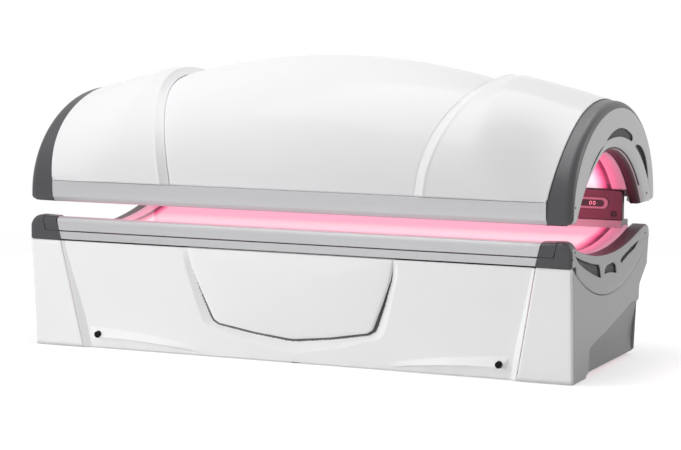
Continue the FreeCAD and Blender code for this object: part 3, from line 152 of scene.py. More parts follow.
def outward(obj):
    # turn the faces of a closed mesh so that they all point out
    mesh = bmesh.new()
    mesh.from_mesh(obj.data)
    bmesh.ops.remove_doubles(mesh, verts=mesh.verts, dist=1e-6)
    bmesh.ops.recalc_face_normals(mesh, faces=mesh.faces)
    mesh.to_mesh(obj.data)
    mesh.free()
    return obj


def tube(name, rows, turn=False, caps=True):
    # closed loops, one per row, joined to a solid
    return outward(gridMesh(name, rows, closeCols=True, caps=caps, turn=turn))


def prism(name, outline, axis, stations):
    # a closed outline carried straight along one axis through the stations
    u, v = np.asarray(outline, float).T
    return tube(name, [xyz(*{"x": (at, u, v), "y": (u, at, v)}[axis]) for at in stations])


def mirrored(points, side):
    # the same points at the other end of the bed where side is -1
    return np.asarray(points, float) * np.array([side, 1, 1])


def unit(vectors):
    # each row over its own length
    return vectors / np.linalg.norm(vectors, axis=1)[:, None]


def resample(points, count):
    # count points at equal spacing along a polyline
    points = np.asarray(points, float)
    steps = np.r_[0, np.cumsum(np.linalg.norm(np.diff(points, axis=0), axis=1))]
    at = np.linspace(0, steps[-1], count)
    return np.stack([np.interp(at, steps, points[:, k]) for k in range(points.shape[1])], -1)


def roundedOutline(corners, steps=6):
    # closed outline of straight runs with a quarter-like arc of each corner's own radius
    points = np.array([c[:2] for c in corners], float)
    radii = [c[2] if len(c) > 2 else 0 for c in corners]
    made = []
    for k, radius in enumerate(radii):
        here, before, after = points[k], points[k - 1], points[(k + 1) % len(points)]
        if radius == 0:
            made.append(here[None])
            continue
        a, b = (before - here), (after - here)
        a, b = a / np.linalg.norm(a), b / np.linalg.norm(b)
        angle = math.acos(float(np.clip(a @ b, -1, 1)))
        reach = radius / math.tan(angle / 2)
        middle = here + (a + b) / np.linalg.norm(a + b) * radius / math.sin(angle / 2)
        start, end = here + a * reach - middle, here + b * reach - middle
        turn = math.pi - angle
        t = np.linspace(0, 1, steps)[:, None]
        made.append(middle + (np.sin((1 - t) * turn) * start + np.sin(t * turn) * end) / math.sin(turn))
    return np.concatenate(made)


def bevel(obj, width, segments=2, angle=30):
    # rounds every edge that is sharper than the angle in degrees
    made = obj.modifiers.new("Bevel", "BEVEL")
    made.width, made.segments = width, segments
    made.limit_method, made.angle_limit = "ANGLE", math.radians(angle)
    obj.modifiers.new("Normals", "WEIGHTED_NORMAL").keep_sharp = True


def addWall(obj, thickness, offset=-1, inner=0):
    # gives a sheet its thickness; inner counts the material slots from one face to the other
    wall = obj.modifiers.new("Wall", "SOLIDIFY")
    wall.thickness, wall.offset, wall.material_offset = thickness, offset, inner


def paint(obj, kinds):
    # the material slot of every face
    obj.data.polygons.foreach_set("material_index", np.asarray(kinds, np.int32).ravel())


def dress(obj, body, slotName, names, *nodes):
    # give a piece its finishes, body and the nodes that it stands for; the slot name is not used
    for name in [names] if isinstance(names, str) else names:
        obj.data.materials.append(finish[name])
    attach(obj, body)
    if nodes:
        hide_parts(*nodes)


# materials

def fill(node, *inputs, **values):
    # sets a node's inputs by order, or by name with its spaces left out; another node or its output is linked
    named = {socket.name.replace(" ", "").lower(): socket for socket in list(node.inputs)[::-1]}
    for target, value in [*zip(node.inputs, inputs), *((named[k.lower()], v) for k, v in values.items())]:
        if isinstance(value, bpy.types.Node):
            value = value.outputs[0]
        if isinstance(value, bpy.types.NodeSocket):
            node.id_data.links.new(value, target)
        else:
            target.default_value = value
    return node


def addNode(tree, kind, *inputs, operation=None, **values):
    # a new shader node of a kind, with its inputs filled
    node = tree.nodes.new("ShaderNode" + kind)
    if operation:
        node.operation = operation
    return fill(node, *inputs, **values)


def nodeMaterial(name):
    # a new material with its tree and its principled shader
    material = bpy.data.materials.new(name)
    material.use_nodes = True
    return material, material.node_tree, material.node_tree.nodes["Principled BSDF"]


def emptyTree(block):
    # the bare node tree of a material or a world
    block.use_nodes = True
    block.node_tree.nodes.clear()
    return block.node_tree


def coordinate(tree, axis):
    # one axis of the place on the bed
    return addNode(tree, "SeparateXYZ", addNode(tree, "TexCoord").outputs["Object"]).outputs[axis]


def noiseOn(tree, scale, detail=3, stretch=(1, 1, 1)):
    # noise over the piece's own coordinates, stretched along its axes
    place = addNode(tree, "Mapping", addNode(tree, "TexCoord").outputs["Object"], scale=stretch)
    return addNode(tree, "TexNoise", place, scale=scale, detail=detail)


def tones(tree, source, first, last, *stops):
    # a colour from a source that runs 0 to 1: first, last, and stops of (place, colour) between them
    made = addNode(tree, "ValToRGB", source)
    elements = made.color_ramp.elements
    elements[0].color, elements[1].color = (*first, 1), (*last, 1)
    for place, color in stops:
        elements.new(place).color = (*color, 1)
    return made


def toned(tree, source, color, shares):
    # one colour, darker and lighter by the two shares
    return tones(tree, source, *([min(1, c * share) for c in color] for share in shares))


coating = {"waves": 2.5, "roughSpread": (0.88, 1.12), "bump": 0.25}
brushing = {"lines": 9, "tone": (0.93, 1.05), "roughSpread": (0.8, 1.25), "bump": 0.12, "height": 0.00005}
# the acrylic sheets glow with painted lamp light: its share and strength, its colours over, beyond and near
# the lamps, and the frost's pink and glow
acrylic = {
    "tint": (1.0, 0.93, 0.96, 1), "glow": 1.35, "milk": 0.66, "bending": 1.45, "gloss": 0.08,
    "overLamps": (1.0, 0.70, 0.79), "beyond": (0.13, 0.010, 0.035),
    "reds": ((0.50, (1.0, 0.24, 0.42)), (0.80, (0.85, 0.06, 0.20))),
    "lampFade": (0.060, 0.006), "sideFade": 0.06, "sideRed": 0.3, "frostStart": (0.006, 0.010),
    "frost": (0.58, 0.30, 0.40, 1), "frostLight": (1.0, 0.30, 0.48, 1), "frostGlow": 0.24, "rough": 0.35,
}


def coatedSurface(name, color, rough, metal=0.0, coat=0.0, coatRough=0.1, grain=600, height=0.00005,
                  tone=0.02, specular=0.5):
    # moulded or painted surface: a fine grain in the bump and the roughness, slow waves in the tone
    material, tree, shader = nodeMaterial(name)
    slow, fine = noiseOn(tree, coating["waves"], 4), noiseOn(tree, grain, 2)
    least, most = (rough * share for share in coating["roughSpread"])
    fill(shader, baseColor=toned(tree, slow, color, (1 - tone, 1 + tone)), metallic=metal, coatWeight=coat,
         coatRoughness=coatRough, specularIORLevel=specular,
         roughness=addNode(tree, "MapRange", fine, toMin=least, toMax=most),
         normal=addNode(tree, "Bump", height=fine, strength=coating["bump"], distance=height))
    return material


def brushedMetal(name, color, rough, along=(1, 120, 120)):
    # metal with fine lines along the bed: noise stretched in X drives tone, roughness and bump
    material, tree, shader = nodeMaterial(name)
    lines = noiseOn(tree, brushing["lines"], 5, along)
    least, most = (rough * share for share in brushing["roughSpread"])
    fill(shader, baseColor=toned(tree, lines, color, brushing["tone"]), metallic=1.0,
         roughness=addNode(tree, "MapRange", lines, toMin=least, toMax=most),
         normal=addNode(tree, "Bump", height=lines, strength=brushing["bump"], distance=brushing["height"]))
    return material


def glow(name, core, edge, strength, start, stop):
    # light that falls off towards the ends of the bed, from core at the middle to edge at the ends
    material, tree, shader = nodeMaterial(name)
    reach = addNode(tree, "Math", coordinate(tree, "X"), operation="ABSOLUTE")
    shade = tones(tree, addNode(tree, "MapRange", reach, fromMin=start, fromMax=stop), core, edge)
    fill(shader, baseColor=shade, emissionColor=shade, emissionStrength=strength, roughness=0.35)
    return material


def acrylicSheet(name, middle, reach):
    # clear sheet, mirror-like at a flat angle, with a share of painted lamp light as its own glow: pale over
    # the lamps, red beyond them across the bed and near their ends, and frosted past their ends, where a pink
    # colour and a weak glow are painted lamp light
    a, material = acrylic, bpy.data.materials.new(name)
    tree = emptyTree(material)
    along = addNode(tree, "Math", coordinate(tree, "X"), operation="ABSOLUTE")
    shift = addNode(tree, "Math", coordinate(tree, "Y"), middle, operation="SUBTRACT")
    across = addNode(tree, "Math", shift, operation="ABSOLUTE")

    def span(source, start, stop, most=1):
        # rises from 0 to most between start and stop
        return addNode(tree, "MapRange", source, fromMin=start, fromMax=stop, toMax=most)

    red = addNode(tree, "Math", span(along, *(lampEnd - d for d in a["lampFade"])),
                  span(across, reach - a["sideFade"], reach, a["sideRed"]), operation="MAXIMUM")
    milk = addNode(tree, "Emission", tones(tree, red, a["overLamps"], a["beyond"], *a["reds"]), a["glow"])
    # the painted lamp light's share counts for each of the sheet's two faces
    sheet = addNode(tree, "MixShader", a["milk"], addNode(tree, "BsdfTransparent", a["tint"]), milk)
    backside = addNode(tree, "NewGeometry").outputs["Backfacing"]
    outside = addNode(tree, "Math", 1.0, backside, operation="SUBTRACT")
    shine = addNode(tree, "Math", outside, addNode(tree, "Fresnel", a["bending"]), operation="MULTIPLY")
    glossy = addNode(tree, "MixShader", shine, sheet, addNode(tree, "BsdfGlossy", roughness=a["gloss"]))
    frost = addNode(tree, "BsdfPrincipled", baseColor=a["frost"], roughness=a["rough"],
                    emissionColor=a["frostLight"], emissionStrength=a["frostGlow"])
    past = span(along, *(lampEnd + d for d in a["frostStart"]))
    addNode(tree, "OutputMaterial", addNode(tree, "MixShader", past, glossy, frost))
    return material


def displayGlass(name):
    # dark, shiny glass with a faint cloudiness
    material, tree, shader = nodeMaterial(name)
    tone = tones(tree, noiseOn(tree, 14), (0.012, 0.004, 0.007), (0.035, 0.010, 0.018))
    fill(shader, baseColor=tone, roughness=0.12, coatWeight=0.6)
    return material


coatings = {
    "shellWhite": dict(color=(0.785, 0.785, 0.795), rough=0.45, coat=0.18, grain=420, specular=0.22),
    "panelWhite": dict(color=(0.925, 0.925, 0.93), rough=0.38, coat=0.10, coatRough=0.25, grain=700),
    "anthracitePlastic": dict(color=(0.072, 0.072, 0.076), rough=0.42, metal=0.25, grain=900, tone=0.05,
                              height=0.0001),
    "silverGreyPlastic": dict(color=(0.52, 0.52, 0.53), rough=0.38, metal=0.2, grain=900, tone=0.03,
                              height=0.0001),
    # anthracite with the lamps' red light painted into its colour
    "innerAnthracitePaintedRedLight": dict(color=(0.050, 0.026, 0.033), rough=0.42, grain=900),
    "benchGreyPlastic": dict(color=(0.345, 0.345, 0.355), rough=0.40, metal=0.2, grain=900, tone=0.03),
    # the bench grey darkened for the end panel's recess: painted shade
    "recessPaintedShadeGrey": dict(color=(0.17, 0.17, 0.175), rough=0.4, metal=0.2, grain=900, tone=0.03),
    "bezelGrey": dict(color=(0.26, 0.20, 0.22), rough=0.45, grain=900),
    "deckGrey": dict(color=(0.30, 0.27, 0.28), rough=0.45, grain=900),
    # darker grey painted as shade at the bottom of the groove round the shield
    "paintedGrooveShade": dict(color=(0.20, 0.20, 0.205), rough=0.6, grain=900),
    "grilleGrey": dict(color=(0.10, 0.10, 0.105), rough=0.5, grain=900),
    "lockBlack": dict(color=(0.006, 0.006, 0.006), rough=0.6, specular=0.15),
    "ventBlack": dict(color=(0.012, 0.012, 0.013), rough=0.6, grain=500, tone=0.1),
    # grey housing whose dark red is the lamps' light painted into its colour
    "consoleGrey": dict(color=(0.062, 0.020, 0.032), rough=0.4, grain=700),
    "springBlack": dict(color=(0.03, 0.03, 0.032), rough=0.3, coat=0.4, grain=300),
    "frameCoating": dict(color=(0.06, 0.06, 0.065), rough=0.45, grain=1200, height=0.0002),
    "sheetCoating": dict(color=(0.55, 0.56, 0.58), rough=0.42, grain=1000, height=0.0001),
    "footRubber": dict(color=(0.02, 0.02, 0.02), rough=0.75, grain=300, height=0.0003),
    "holderWhite": dict(color=(0.75, 0.70, 0.72), rough=0.5),
    "buttonWhite": dict(color=(0.62, 0.62, 0.64), rough=0.45),
}
# colour at the middle, colour at the ends, strength, and where the fall from one to the other starts and ends
glows = {
    "lampGlow": ((1.0, 0.62, 0.74), (1.0, 0.10, 0.30), 1.15, lampEnd - 0.06, lampEnd),
    # the reflector is no lamp: its red glow is the lamps' reflection painted on
    "reflectorPaintedLampGlow": ((1.0, 0.06, 0.24), (0.8, 0.03, 0.14), 1.0, lampEnd - 0.15, lampEnd + 0.02),
    "digitGlow": ((1.0, 0.42, 0.52), (1.0, 0.42, 0.52), 0.6, 0.5, 1.0),
}
finish = {name: coatedSurface(name, **values) for name, values in coatings.items()}
finish |= {name: glow(name, *values) for name, values in glows.items()}
finish["brushedRail"] = brushedMetal("brushedRail", (0.57, 0.57, 0.583), 0.60)
finish["turnedSteel"] = brushedMetal("turnedSteel", (0.62, 0.62, 0.63), 0.25, (40, 40, 40))
finish["benchAcrylicLit"] = acrylicSheet("benchAcrylicLit", -0.055, 0.315)
finish["canopyAcrylicLit"] = acrylicSheet("canopyAcrylicLit", -0.045, 0.520)
finish["displayGlass"] = displayGlass("displayGlass")
print("materials made")


# canopy shells

shells = {
    "middle": 0.020, "frontReach": 0.5637, "backReach": 0.5238, "proud": 0.014, "wall": 0.004,
    "ahead": 0.055, "aheadEnd": 1.02, "aheadFade": 0.42,  # how far forward the crest is, and up to where
    "shoulder": 0.718, "endShoulder": 0.620, "shoulderStart": 0.72, "shoulderFade": 0.32,
    "crest": 1.1597, "bow": 0.2062, "peak": 1.0945, "peakReach": 0.740, "peakFall": 0.006, "peakSpan": 0.150,
    "endHeight": 1.0145, "endReach": 1.054, "endBow": 0.08,
    "seamLow": 0.508, "seamHigh": 0.650, "seamTop": 1.080, "seamLean": 0.28,
    "lift": 0.10, "ramp": 0.034, "rampEase": 0.45, "ridge": 0.14, "ridgeAt": 1.05, "ridgeWidth": 0.16,
    "tuck": 0.006, "dip": 0.0024, "dipStart": 0.970, "dipSpan": 0.022, "joint": 0.0008, "edge": 0.003,
    "sink": 0.0022, "overRail": 0.0006, "leastFoot": 0.0005,
}


def seamReach(z):
    # how far the seam stands from the middle at height z: a parabola that leans out towards the crest
    s = shells
    t = (z - railHigh) / (s["seamTop"] - railHigh)
    return between(s["seamLow"], s["seamHigh"], s["seamLean"] * t + (1 - s["seamLean"]) * t * t)


def crestHeight(x, wing):
    # the dome's crest falls with the square of x; a wing's crest peaks at peakReach and sinks to its end
    s, x = shells, np.abs(x)
    if not wing:
        return s["crest"] - s["bow"] * x ** 2
    inner = s["peak"] - s["peakFall"] * ((s["peakReach"] - x) / s["peakSpan"]) ** 2
    share = (x - s["peakReach"]) / (s["endReach"] - s["peakReach"])
    outer = between(s["peak"], s["endHeight"], s["endBow"] * share ** 2 + (1 - s["endBow"]) * share)
    return np.where(x <= s["peakReach"], inner, outer)


def domePoint(x, share, wing):
    # quarter ellipses over a straight foot: share runs 0 to 1 from the front's foot over the crest to the
    # back's. Where the shoulder lies below the rail the ellipse starts at the rail; the crest of the middle
    # stands further forward than that of the ends, and the feet stay where they are.
    s = shells
    less = 0.0 if wing else s["proud"]
    ahead = s["ahead"] * smooth((s["aheadEnd"] - np.abs(x)) / s["aheadFade"])
    reach, backReach = s["frontReach"] - less - ahead, s["backReach"] - less + ahead
    sunk = smooth((np.abs(x) - s["shoulderStart"]) / s["shoulderFade"])
    shoulder = between(s["shoulder"], s["endShoulder"], sunk)
    rise = crestHeight(x, wing) - shoulder
    start = np.arcsin(np.clip((railHigh - shoulder) / rise, 0, 1))
    turn = start + (math.pi - start) * share
    cosine = np.cos(turn)
    return xyz(x, s["middle"] - ahead - np.where(cosine > 0, reach, backReach) * cosine,
               shoulder + rise * np.sin(turn))


def shellHeights(points, foot):
    # spreads the straight feet of every column between the dome's shoulder and the rail or the rear foot
    t = np.linspace(0, 1, foot, endpoint=False)[:, None]
    bottom = railHigh + shells["overRail"]
    points[:foot, :, 2] = bottom * (1 - t) + np.maximum(points[foot, :, 2], bottom + shells["leastFoot"]) * t
    points[-foot:, :, 2] = (rearFoot * (1 - t) + points[-foot - 1, :, 2] * t)[::-1]
    dome = points[foot:-foot]
    dome[..., 2] = np.maximum(dome[..., 2], np.where(dome[..., 1] < 0, bottom, 0))
    return points


def shellSurface(share, wing, foot=6, count=84):
    # one column per share, 0 to 1 from the seam (or the middle) to the end; its rows run front to back
    s = shells
    run = np.r_[np.zeros(foot), np.linspace(0, 1, count), np.ones(foot)][:, None] + 0 * share[None]
    seam, ending = np.full(run.shape, s["seamLow"]), np.full(run.shape, shellEnd)
    for _ in range(10):
        seam = seamReach(shellHeights(domePoint(seam, run, wing), foot)[..., 2])
        ending = capSeam(shellHeights(domePoint(ending, run, True), foot)[..., 2])
    if wing:
        x = seam + (ending - s["joint"] - seam) * share[None]
        under, over = domePoint(x, run, False), domePoint(x, run, True)
        t = (x - seam) / s["ramp"]
        ramp = (1 - s["rampEase"]) * np.clip(t, 0, 1) + s["rampEase"] * smooth(t)
        ridge = s["ridge"] * np.exp(-((t - s["ridgeAt"]) / s["ridgeWidth"]) ** 2)
        points = between(under, over, (s["lift"] + (1 - s["lift"]) * ramp + ridge)[..., None])
        # the last few millimetres roll in to the joint with the end cap
        inward = np.clip(1 - (ending - x) / s["edge"], 0, 1) ** 2 * s["sink"]
    else:
        # its last few millimetres dip under the wings' edges
        points = domePoint((seam + s["tuck"]) * share[None], run, False)
        inward = s["dip"] * smooth((np.abs(share[None]) - s["dipStart"]) / s["dipSpan"])
    points[..., 1] += np.cos(math.pi * run) * inward
    points[..., 2] -= np.sin(math.pi * run) * inward
    return shellHeights(points, foot)


def shellPiece(name, points, turn, node):
    # a shell of even thickness over its surface
    obj = gridMesh(name, points, turn=turn)
    addWall(obj, shells["wall"])
    dress(obj, "canopy", "gloss_white", "shellWhite", node)


wingShare = np.unique(np.r_[np.linspace(0, 0.09, 22), np.linspace(0.09, 0.985, 46), np.linspace(0.985, 1, 7)])
wingPoints = shellSurface(wingShare, True)
for sideName, side in sides.items():
    shellPiece(f"canopyWing_{sideName}", mirrored(wingPoints, side), side > 0, f"canopy_wing_{sideName}")
middleShare = np.r_[np.linspace(0, 0.966, 54), np.linspace(0.970, 1, 10)]
middlePoints = shellSurface(np.unique(np.r_[-middleShare, middleShare]), False)
shellPiece("canopyShellMiddle", middlePoints, True, "canopy_shell_center")
print("canopy shells made")


# canopy end caps

caps = {
    "archY": -0.045, "archZ": 0.299, "arch": 0.525, "ridge": 0.031, "lip": 0.034, "lipLeast": 0.007,
    "shoulder": 0.620, "height": 1.0095, "frontReach": 0.5695, "backReach": 0.530,
    "flange": 0.058, "tunnel": 0.016, "roll": 0.030, "rearRoll": 0.048, "rollTurn": 60, "rearLow": 0.581,
    "nose": 0.028, "footStart": 38, "hidden": 0.006, "inside": 0.008, "joint": 0.0006, "edge": 0.0014,
    "hoodShare": 0.8, "crown": 0.0025, "depth": 0.016, "margin": 0.004, "overVents": 0.010,
    "below": 0.02, "under": 0.010, "edgeEnd": 0.03, "openWidth": 0.006,
}
# vents as (angle, lift over the arch) of the upper and the lower edge, degrees from straight up to the back
capVents = (
    (((-35.7, 15), (-22, 33), (-9.6, 40)), ((-35.7, 15), (-19.5, 25), (-12.0, 38))),
    (((-8.6, 49), (9.8, 90), (25.6, 101)), ((-8.6, 47), (8.4, 56), (25.6, 78))),
    (((29.7, 84), (39.5, 129), (53.1, 99)), ((29.7, 80), (42.5, 92), (53.1, 98))),
)


def onArch(radius, angle):
    # (y, z) at a distance from the arch's centre and an angle from straight up to the back
    return caps["archY"] + radius * np.sin(angle), caps["archZ"] + radius * np.cos(angle)


def footed(y, z):
    # a dome contour carried down both walls and rolled in at the feet, as distances by angle about the arch
    turn = np.radians(np.linspace(0, caps["rollTurn"], 8))
    ends = [(wall + roll * (1 - np.cos(turn)) * inward, base + roll * (1 - np.sin(turn)))
            for wall, inward, base, roll in ((y[0], 1, canopyLow, caps["roll"]),
                                             (y[-1], -1, caps["rearLow"], caps["rearRoll"]))]
    y = np.r_[ends[0][0][::-1], y, ends[1][0]] - caps["archY"]
    z = np.r_[ends[0][1][::-1], z, ends[1][1]] - caps["archZ"]
    angles, distances = np.arctan2(y, z), np.hypot(y, z)
    return lambda a: np.interp(a, angles, distances)


def capContours():
    # distance to the hood by angle, at the shell's end and at the cap's outer edge
    edge = wingPoints[:, -1]
    turn = np.linspace(0, math.pi, 300)
    y = shells["middle"] - np.where(np.cos(turn) > 0, caps["frontReach"], caps["backReach"]) * np.cos(turn)
    z = between(caps["shoulder"], caps["height"], np.sin(turn))
    return footed(np.r_[edge[0, 1], edge[:, 1], edge[-1, 1]],
                  np.r_[railHigh - caps["below"], edge[:, 2], edge[-1, 2]]), footed(y, z)


def throughThree(angle, points):
    # parabola through three (angle, lift) points
    return np.polyval(np.polyfit(*zip(*points), 2), angle)


def middleAndWidth(at, vents, edgeAt, shape):
    # middle line and width of vents drawn in millimetres, in metres; the line runs on between the vents
    centre, width = np.full(at.shape, np.nan), np.zeros(at.shape)
    for upper, lower in vents:
        inside = (at >= upper[0][0]) & (at <= upper[-1][0])
        a, b = edgeAt(at, upper), edgeAt(at, lower)
        centre = np.where(inside, (a + b) / 2, centre)
        width = np.where(inside, shape(a - b, at, upper), width)
    known = ~np.isnan(centre)
    return np.interp(at, at[known], centre[known]) * mm, width * mm


def closingEnds(width, degrees, upper):
    # a canopy vent closes over the last degree at either end
    return np.maximum(width, 0) * smooth(degrees - upper[0][0]) * smooth(upper[-1][0] - degrees)


def capSurface():
    # one closed loop per angle: hood, ridge, end face with the vent's recess, arch lip, tunnel wall, back;
    # a row's kind counts the materials: dark plastic, grey face, vent, and the inside, whose dark red is
    # painted lamp light on anthracite
    c = caps
    arch, ridge, crown = c["arch"], c["ridge"], c["crown"]
    seamAt, rimAt = capContours()
    rolled = 1 - math.sin(math.radians(c["rollTurn"]))
    feet = canopyLow + c["roll"] * rolled, c["rearLow"] + c["rearRoll"] * rolled
    start, stop = (sign * math.degrees(math.acos((foot - c["archZ"]) / arch))
                   for sign, foot in zip((-1, 1), feet))
    degrees = np.linspace(start, stop, 300)
    base = np.radians(degrees)
    centres, widths = middleAndWidth(degrees, capVents, throughThree, closingEnds)
    lip = np.clip(centres - widths / 2 - c["overVents"], c["lipLeast"], c["lip"])
    lip = np.convolve(np.pad(lip, 6, "edge"), np.full(13, 1 / 13), "valid")
    pull = [smooth((sign * degrees - c["footStart"]) / (sign * end - c["footStart"]))
            for sign, end in ((-1, start), (1, stop))]
    loops, kinds = [], []

    def add(radiusAt, x, kind):
        # the loop's own end angles are those at which it reaches the feet
        ends = []
        for sign, foot in zip((-1, 1), feet):
            a = np.array([sign * 1.0])
            for _ in range(60):
                a = 0.5 * a + 0.5 * sign * np.arccos(np.clip((foot - c["archZ"]) / radiusAt(a), -1, 1))
            ends.append(a[0])
        angle = base + (ends[0] - base[0]) * pull[0] + (ends[1] - base[-1]) * pull[1]
        y, z = onArch(radiusAt(angle), angle)
        furthest = half - rollDrop(z - np.where(angle < 0, *feet), c["nose"])  # rounds the feet off
        loops.append(xyz(np.minimum(x(z) if callable(x) else x, furthest), y, z))
        kinds.append(kind)

    def addHood(share, inset, x, kind):
        # a loop on the hood, by its share of the way from the shell's end to the rim
        add(lambda a: between(seamAt(a), rimAt(a), share) - inset, x, kind)

    def addFace(radii, sink, kind):
        # a loop on the crowned end face at radii given per column, or by a function of the angle
        at = radii if callable(radii) else (lambda a: np.interp(a, base, radii))
        share = np.clip((at(base) - arch) / (rim(base) - arch), 0, 1)
        x = half - crown * (1 - share) - sink
        add(at, lambda z: x, kind)

    def rim(a):
        # where the end face meets the ridge
        return rimAt(a) - ridge

    hoodEnd = half - ridge
    addHood(0, c["hidden"], lambda z: capSeam(z) - c["inside"], 3)  # the hood starts under the shell's edge
    addHood(0, c["hidden"], lambda z: capSeam(z) + c["joint"], 3)
    for t in np.r_[0, 0.02, 0.05, np.linspace(0.1, 1, 10)]:
        addHood(c["hoodShare"] * t, c["edge"] * max(0.0, 1 - t / c["edgeEnd"]),
                lambda z: capSeam(z) + c["joint"] + (hoodEnd - capSeam(z)) * t, 0)
    for turn in np.linspace(0, math.pi / 2, 12)[1:]:
        addHood(between(c["hoodShare"], 1, math.sin(turn)), ridge * (1 - math.cos(turn)),
                hoodEnd + ridge * math.sin(turn), 0 if turn < 1.3 else 1)
    ventHigh, ventLow = arch + centres + widths / 2, arch + centres - widths / 2
    opening = np.clip(widths / c["openWidth"], 0, 1)  # 1 where a vent is wide enough to have its full depth
    upper, lower = ventHigh + c["margin"], ventLow - c["margin"]
    for t in np.linspace(0, 1, 6)[1:-1]:
        addFace(lambda a: between(rim(a), np.interp(a, base, upper), t), 0, 1)
    # rows over a vent's edge, inwards: lift, lift where it is open, sink where it is open, kind
    brink = ((0.0004, 0.0016, 0, 1), (0.0004, 0.0005, 0.0008, 1), (0, 0, 0.003, 2),
             (-0.0004, 0, c["depth"], 2))
    addFace(upper, 0, 1)
    for lift, openLift, sink, kind in brink:
        addFace(ventHigh + lift + openLift * opening, sink * opening, kind)
    addFace((ventHigh + ventLow) / 2, c["depth"] * opening, 2)
    for (lift, openLift, sink, _), kind in zip(brink[::-1], (2, 1, 1, 1)):
        addFace(ventLow - lift - openLift * opening, sink * opening, kind)
    addFace(lower, 0, 1)
    for t in np.linspace(0, 1, 4)[1:]:
        addFace(between(lower, arch + lip, t), 0, 1)
    for turn in np.linspace(0, math.pi / 2, 6)[1:]:
        inward = 1 - math.sin(turn)
        level = crown * (1 - lip * inward / (rim(base) - arch)) + lip * (1 - math.cos(turn))
        add(lambda a: arch + np.interp(a, base, lip) * inward, half - level, 1 if turn < 0.9 else 3)
    for t in (0.1, 0.5, 1):
        add(lambda a: arch + 0 * a, half - crown - lip - (c["flange"] - lip - crown) * t, 3)
    add(lambda a: arch + c["tunnel"] + 0 * a, half - c["flange"], 3)
    add(lambda a: seamAt(a) - c["under"], lambda z: capSeam(z) - c["inside"], 3)
    return np.stack(loops, 1), np.array(kinds)


def endPieces(name, surface, turnedSide, endKind, body, slotName, names, node):
    # the loops of a surface closed to a solid at both ends of the bed; every face is of its row's kind
    points, kinds = surface
    for sideName, side in sides.items():
        piece = gridMesh(f"{name}_{sideName}", mirrored(points, side), closeCols=True, caps=True,
                         turn=side == turnedSide)
        dress(piece, body, slotName, names, f"{node}_{sideName}")
        paint(piece, np.r_[np.tile(kinds, len(points) - 1), endKind, endKind])


endPieces("canopyCap", capSurface(), -1, 0, "canopy", "anthracite",
          ["anthracitePlastic", "silverGreyPlastic", "ventBlack", "innerAnthracitePaintedRedLight"], "canopy_cap")
print("canopy end caps made")


# rails, each an outline of (y, z, radius)

rails = {"canopyDepth": 0.059, "benchDepth": 0.055, "edge": 0.0012}
railBack, benchBack = canopyFront + rails["canopyDepth"], front + rails["benchDepth"]
railTop, benchFoot, stripFoot = railHigh - 0.0005, profileLow + 0.0008, stripLow + 0.0004
stripBack = high("front_strip").y
outlines = {
    "canopyRail": [
        (canopyFront, railTop), (canopyFront, canopyLow + 0.044, 0.012),
        (canopyFront + 0.004, canopyLow + 0.022, 0.020), (canopyFront + 0.020, canopyLow + 0.003, 0.016),
        (canopyFront + 0.034, canopyLow, 0.010), (railBack, canopyLow, 0.003), (railBack, railTop)],
    "benchRail": [
        (front, benchFoot, 0.001), (front, benchTop, 0.024), (front + 0.034, benchTop, 0.010),
        (benchBack, benchTop - 0.018, 0.004), (benchBack, benchFoot)],
    "benchStrip": [
        (front + 0.0015, stripFoot, 0.001), (front + 0.0012, stripLow + 0.004, 0.001),
        (front + 0.0005, stripHigh - 0.001, 0.001), (front + 0.006, stripHigh, 0.0005),
        (stripBack, stripHigh, 0.001), (stripBack, stripFoot)],
}
for name, body, seamAt, node in (("canopyRail", "canopy", capSeam, "canopy_front_profile"),
                                 ("benchRail", "bench", cornerSeam, "bench_top_profile"),
                                 ("benchStrip", "bench", cornerSeam, "front_strip")):
    # the outline is carried along the bed and ends where the seam stands at each height
    y, z = roundedOutline(outlines[name]).T
    piece = tube(name, [xyz(share * (seamAt(z) - seams["joint"]), y, z) for share in np.linspace(-1, 1, 9)])
    bevel(piece, rails["edge"])
    dress(piece, body, "rail_aluminium", "brushedRail", node)
print("rails made")


# front of the bench

frontPanel = {
    "insetHigh": 0.0065, "insetLow": 0.0185, "insetEnd": 0.8, "top": 0.0020, "low": 0.0015, "wall": 0.003,
    "creaseLow": 0.902, "bevelHigh": 0.012, "bevelLow": 0.027, "seam": 0.0026, "joint": 0.0004,
    "fin": 0.021, "finStart": 0.372, "finGrow": 0.20, "finEnd": 0.868, "finSlant": 0.35, "finMiddle": 0.060,
    "finCut": 0.010, "band": 0.016, "bandTop": 0.445, "bandGrow": 0.10, "hole": 0.025, "holeEdge": 0.005,
    "gap": 0.0115, "gapTop": 0.40, "gapGrow": 0.24, "gapIn": 0.12, "gapSpread": 0.18,
    "gapLeast": (0.12, 0.72), "shade": 0.0145, "back": 0.001, "finSwing": 0.03,
}
creaseHigh = float(cornerSeam(stripLow))
shieldOuter = [(450, 430), (440, 354), (415, 260), (385, 152), (374, 130), (350, 112), (298, 100), (200, 70),
               (20, 36), (0, 34)]
shieldInner = [(431, 430), (413, 344), (378, 245), (346, 165), (336, 144), (314, 130), (160, 103), (20, 87),
               (0, 86)]
# lines of the fin along the foot: where it leaves the panel, its crest, and where it comes back underneath
finLines = ([(372, 14), (405, 32), (490, 47), (603, 63), (735, 75), (812, 82), (890, 84)],
            [(372, 5), (405, 14), (490, 27), (604, 38), (735, 45), (840, 44), (890, 42)],
            [(372, 0), (405, 9), (490, 21), (605, 32), (726, 39), (782, 39), (890, 37)])


def leaned(x, out, z):
    # a place on the leaning front: z up the panel, out in front of its plane, turned back about its top edge
    down = z - panelHigh
    return xyz(x, front + frontPanel["back"] - out * math.cos(leanAngle) - down * math.sin(leanAngle),
               panelHigh + down * math.cos(leanAngle) - out * math.sin(leanAngle))


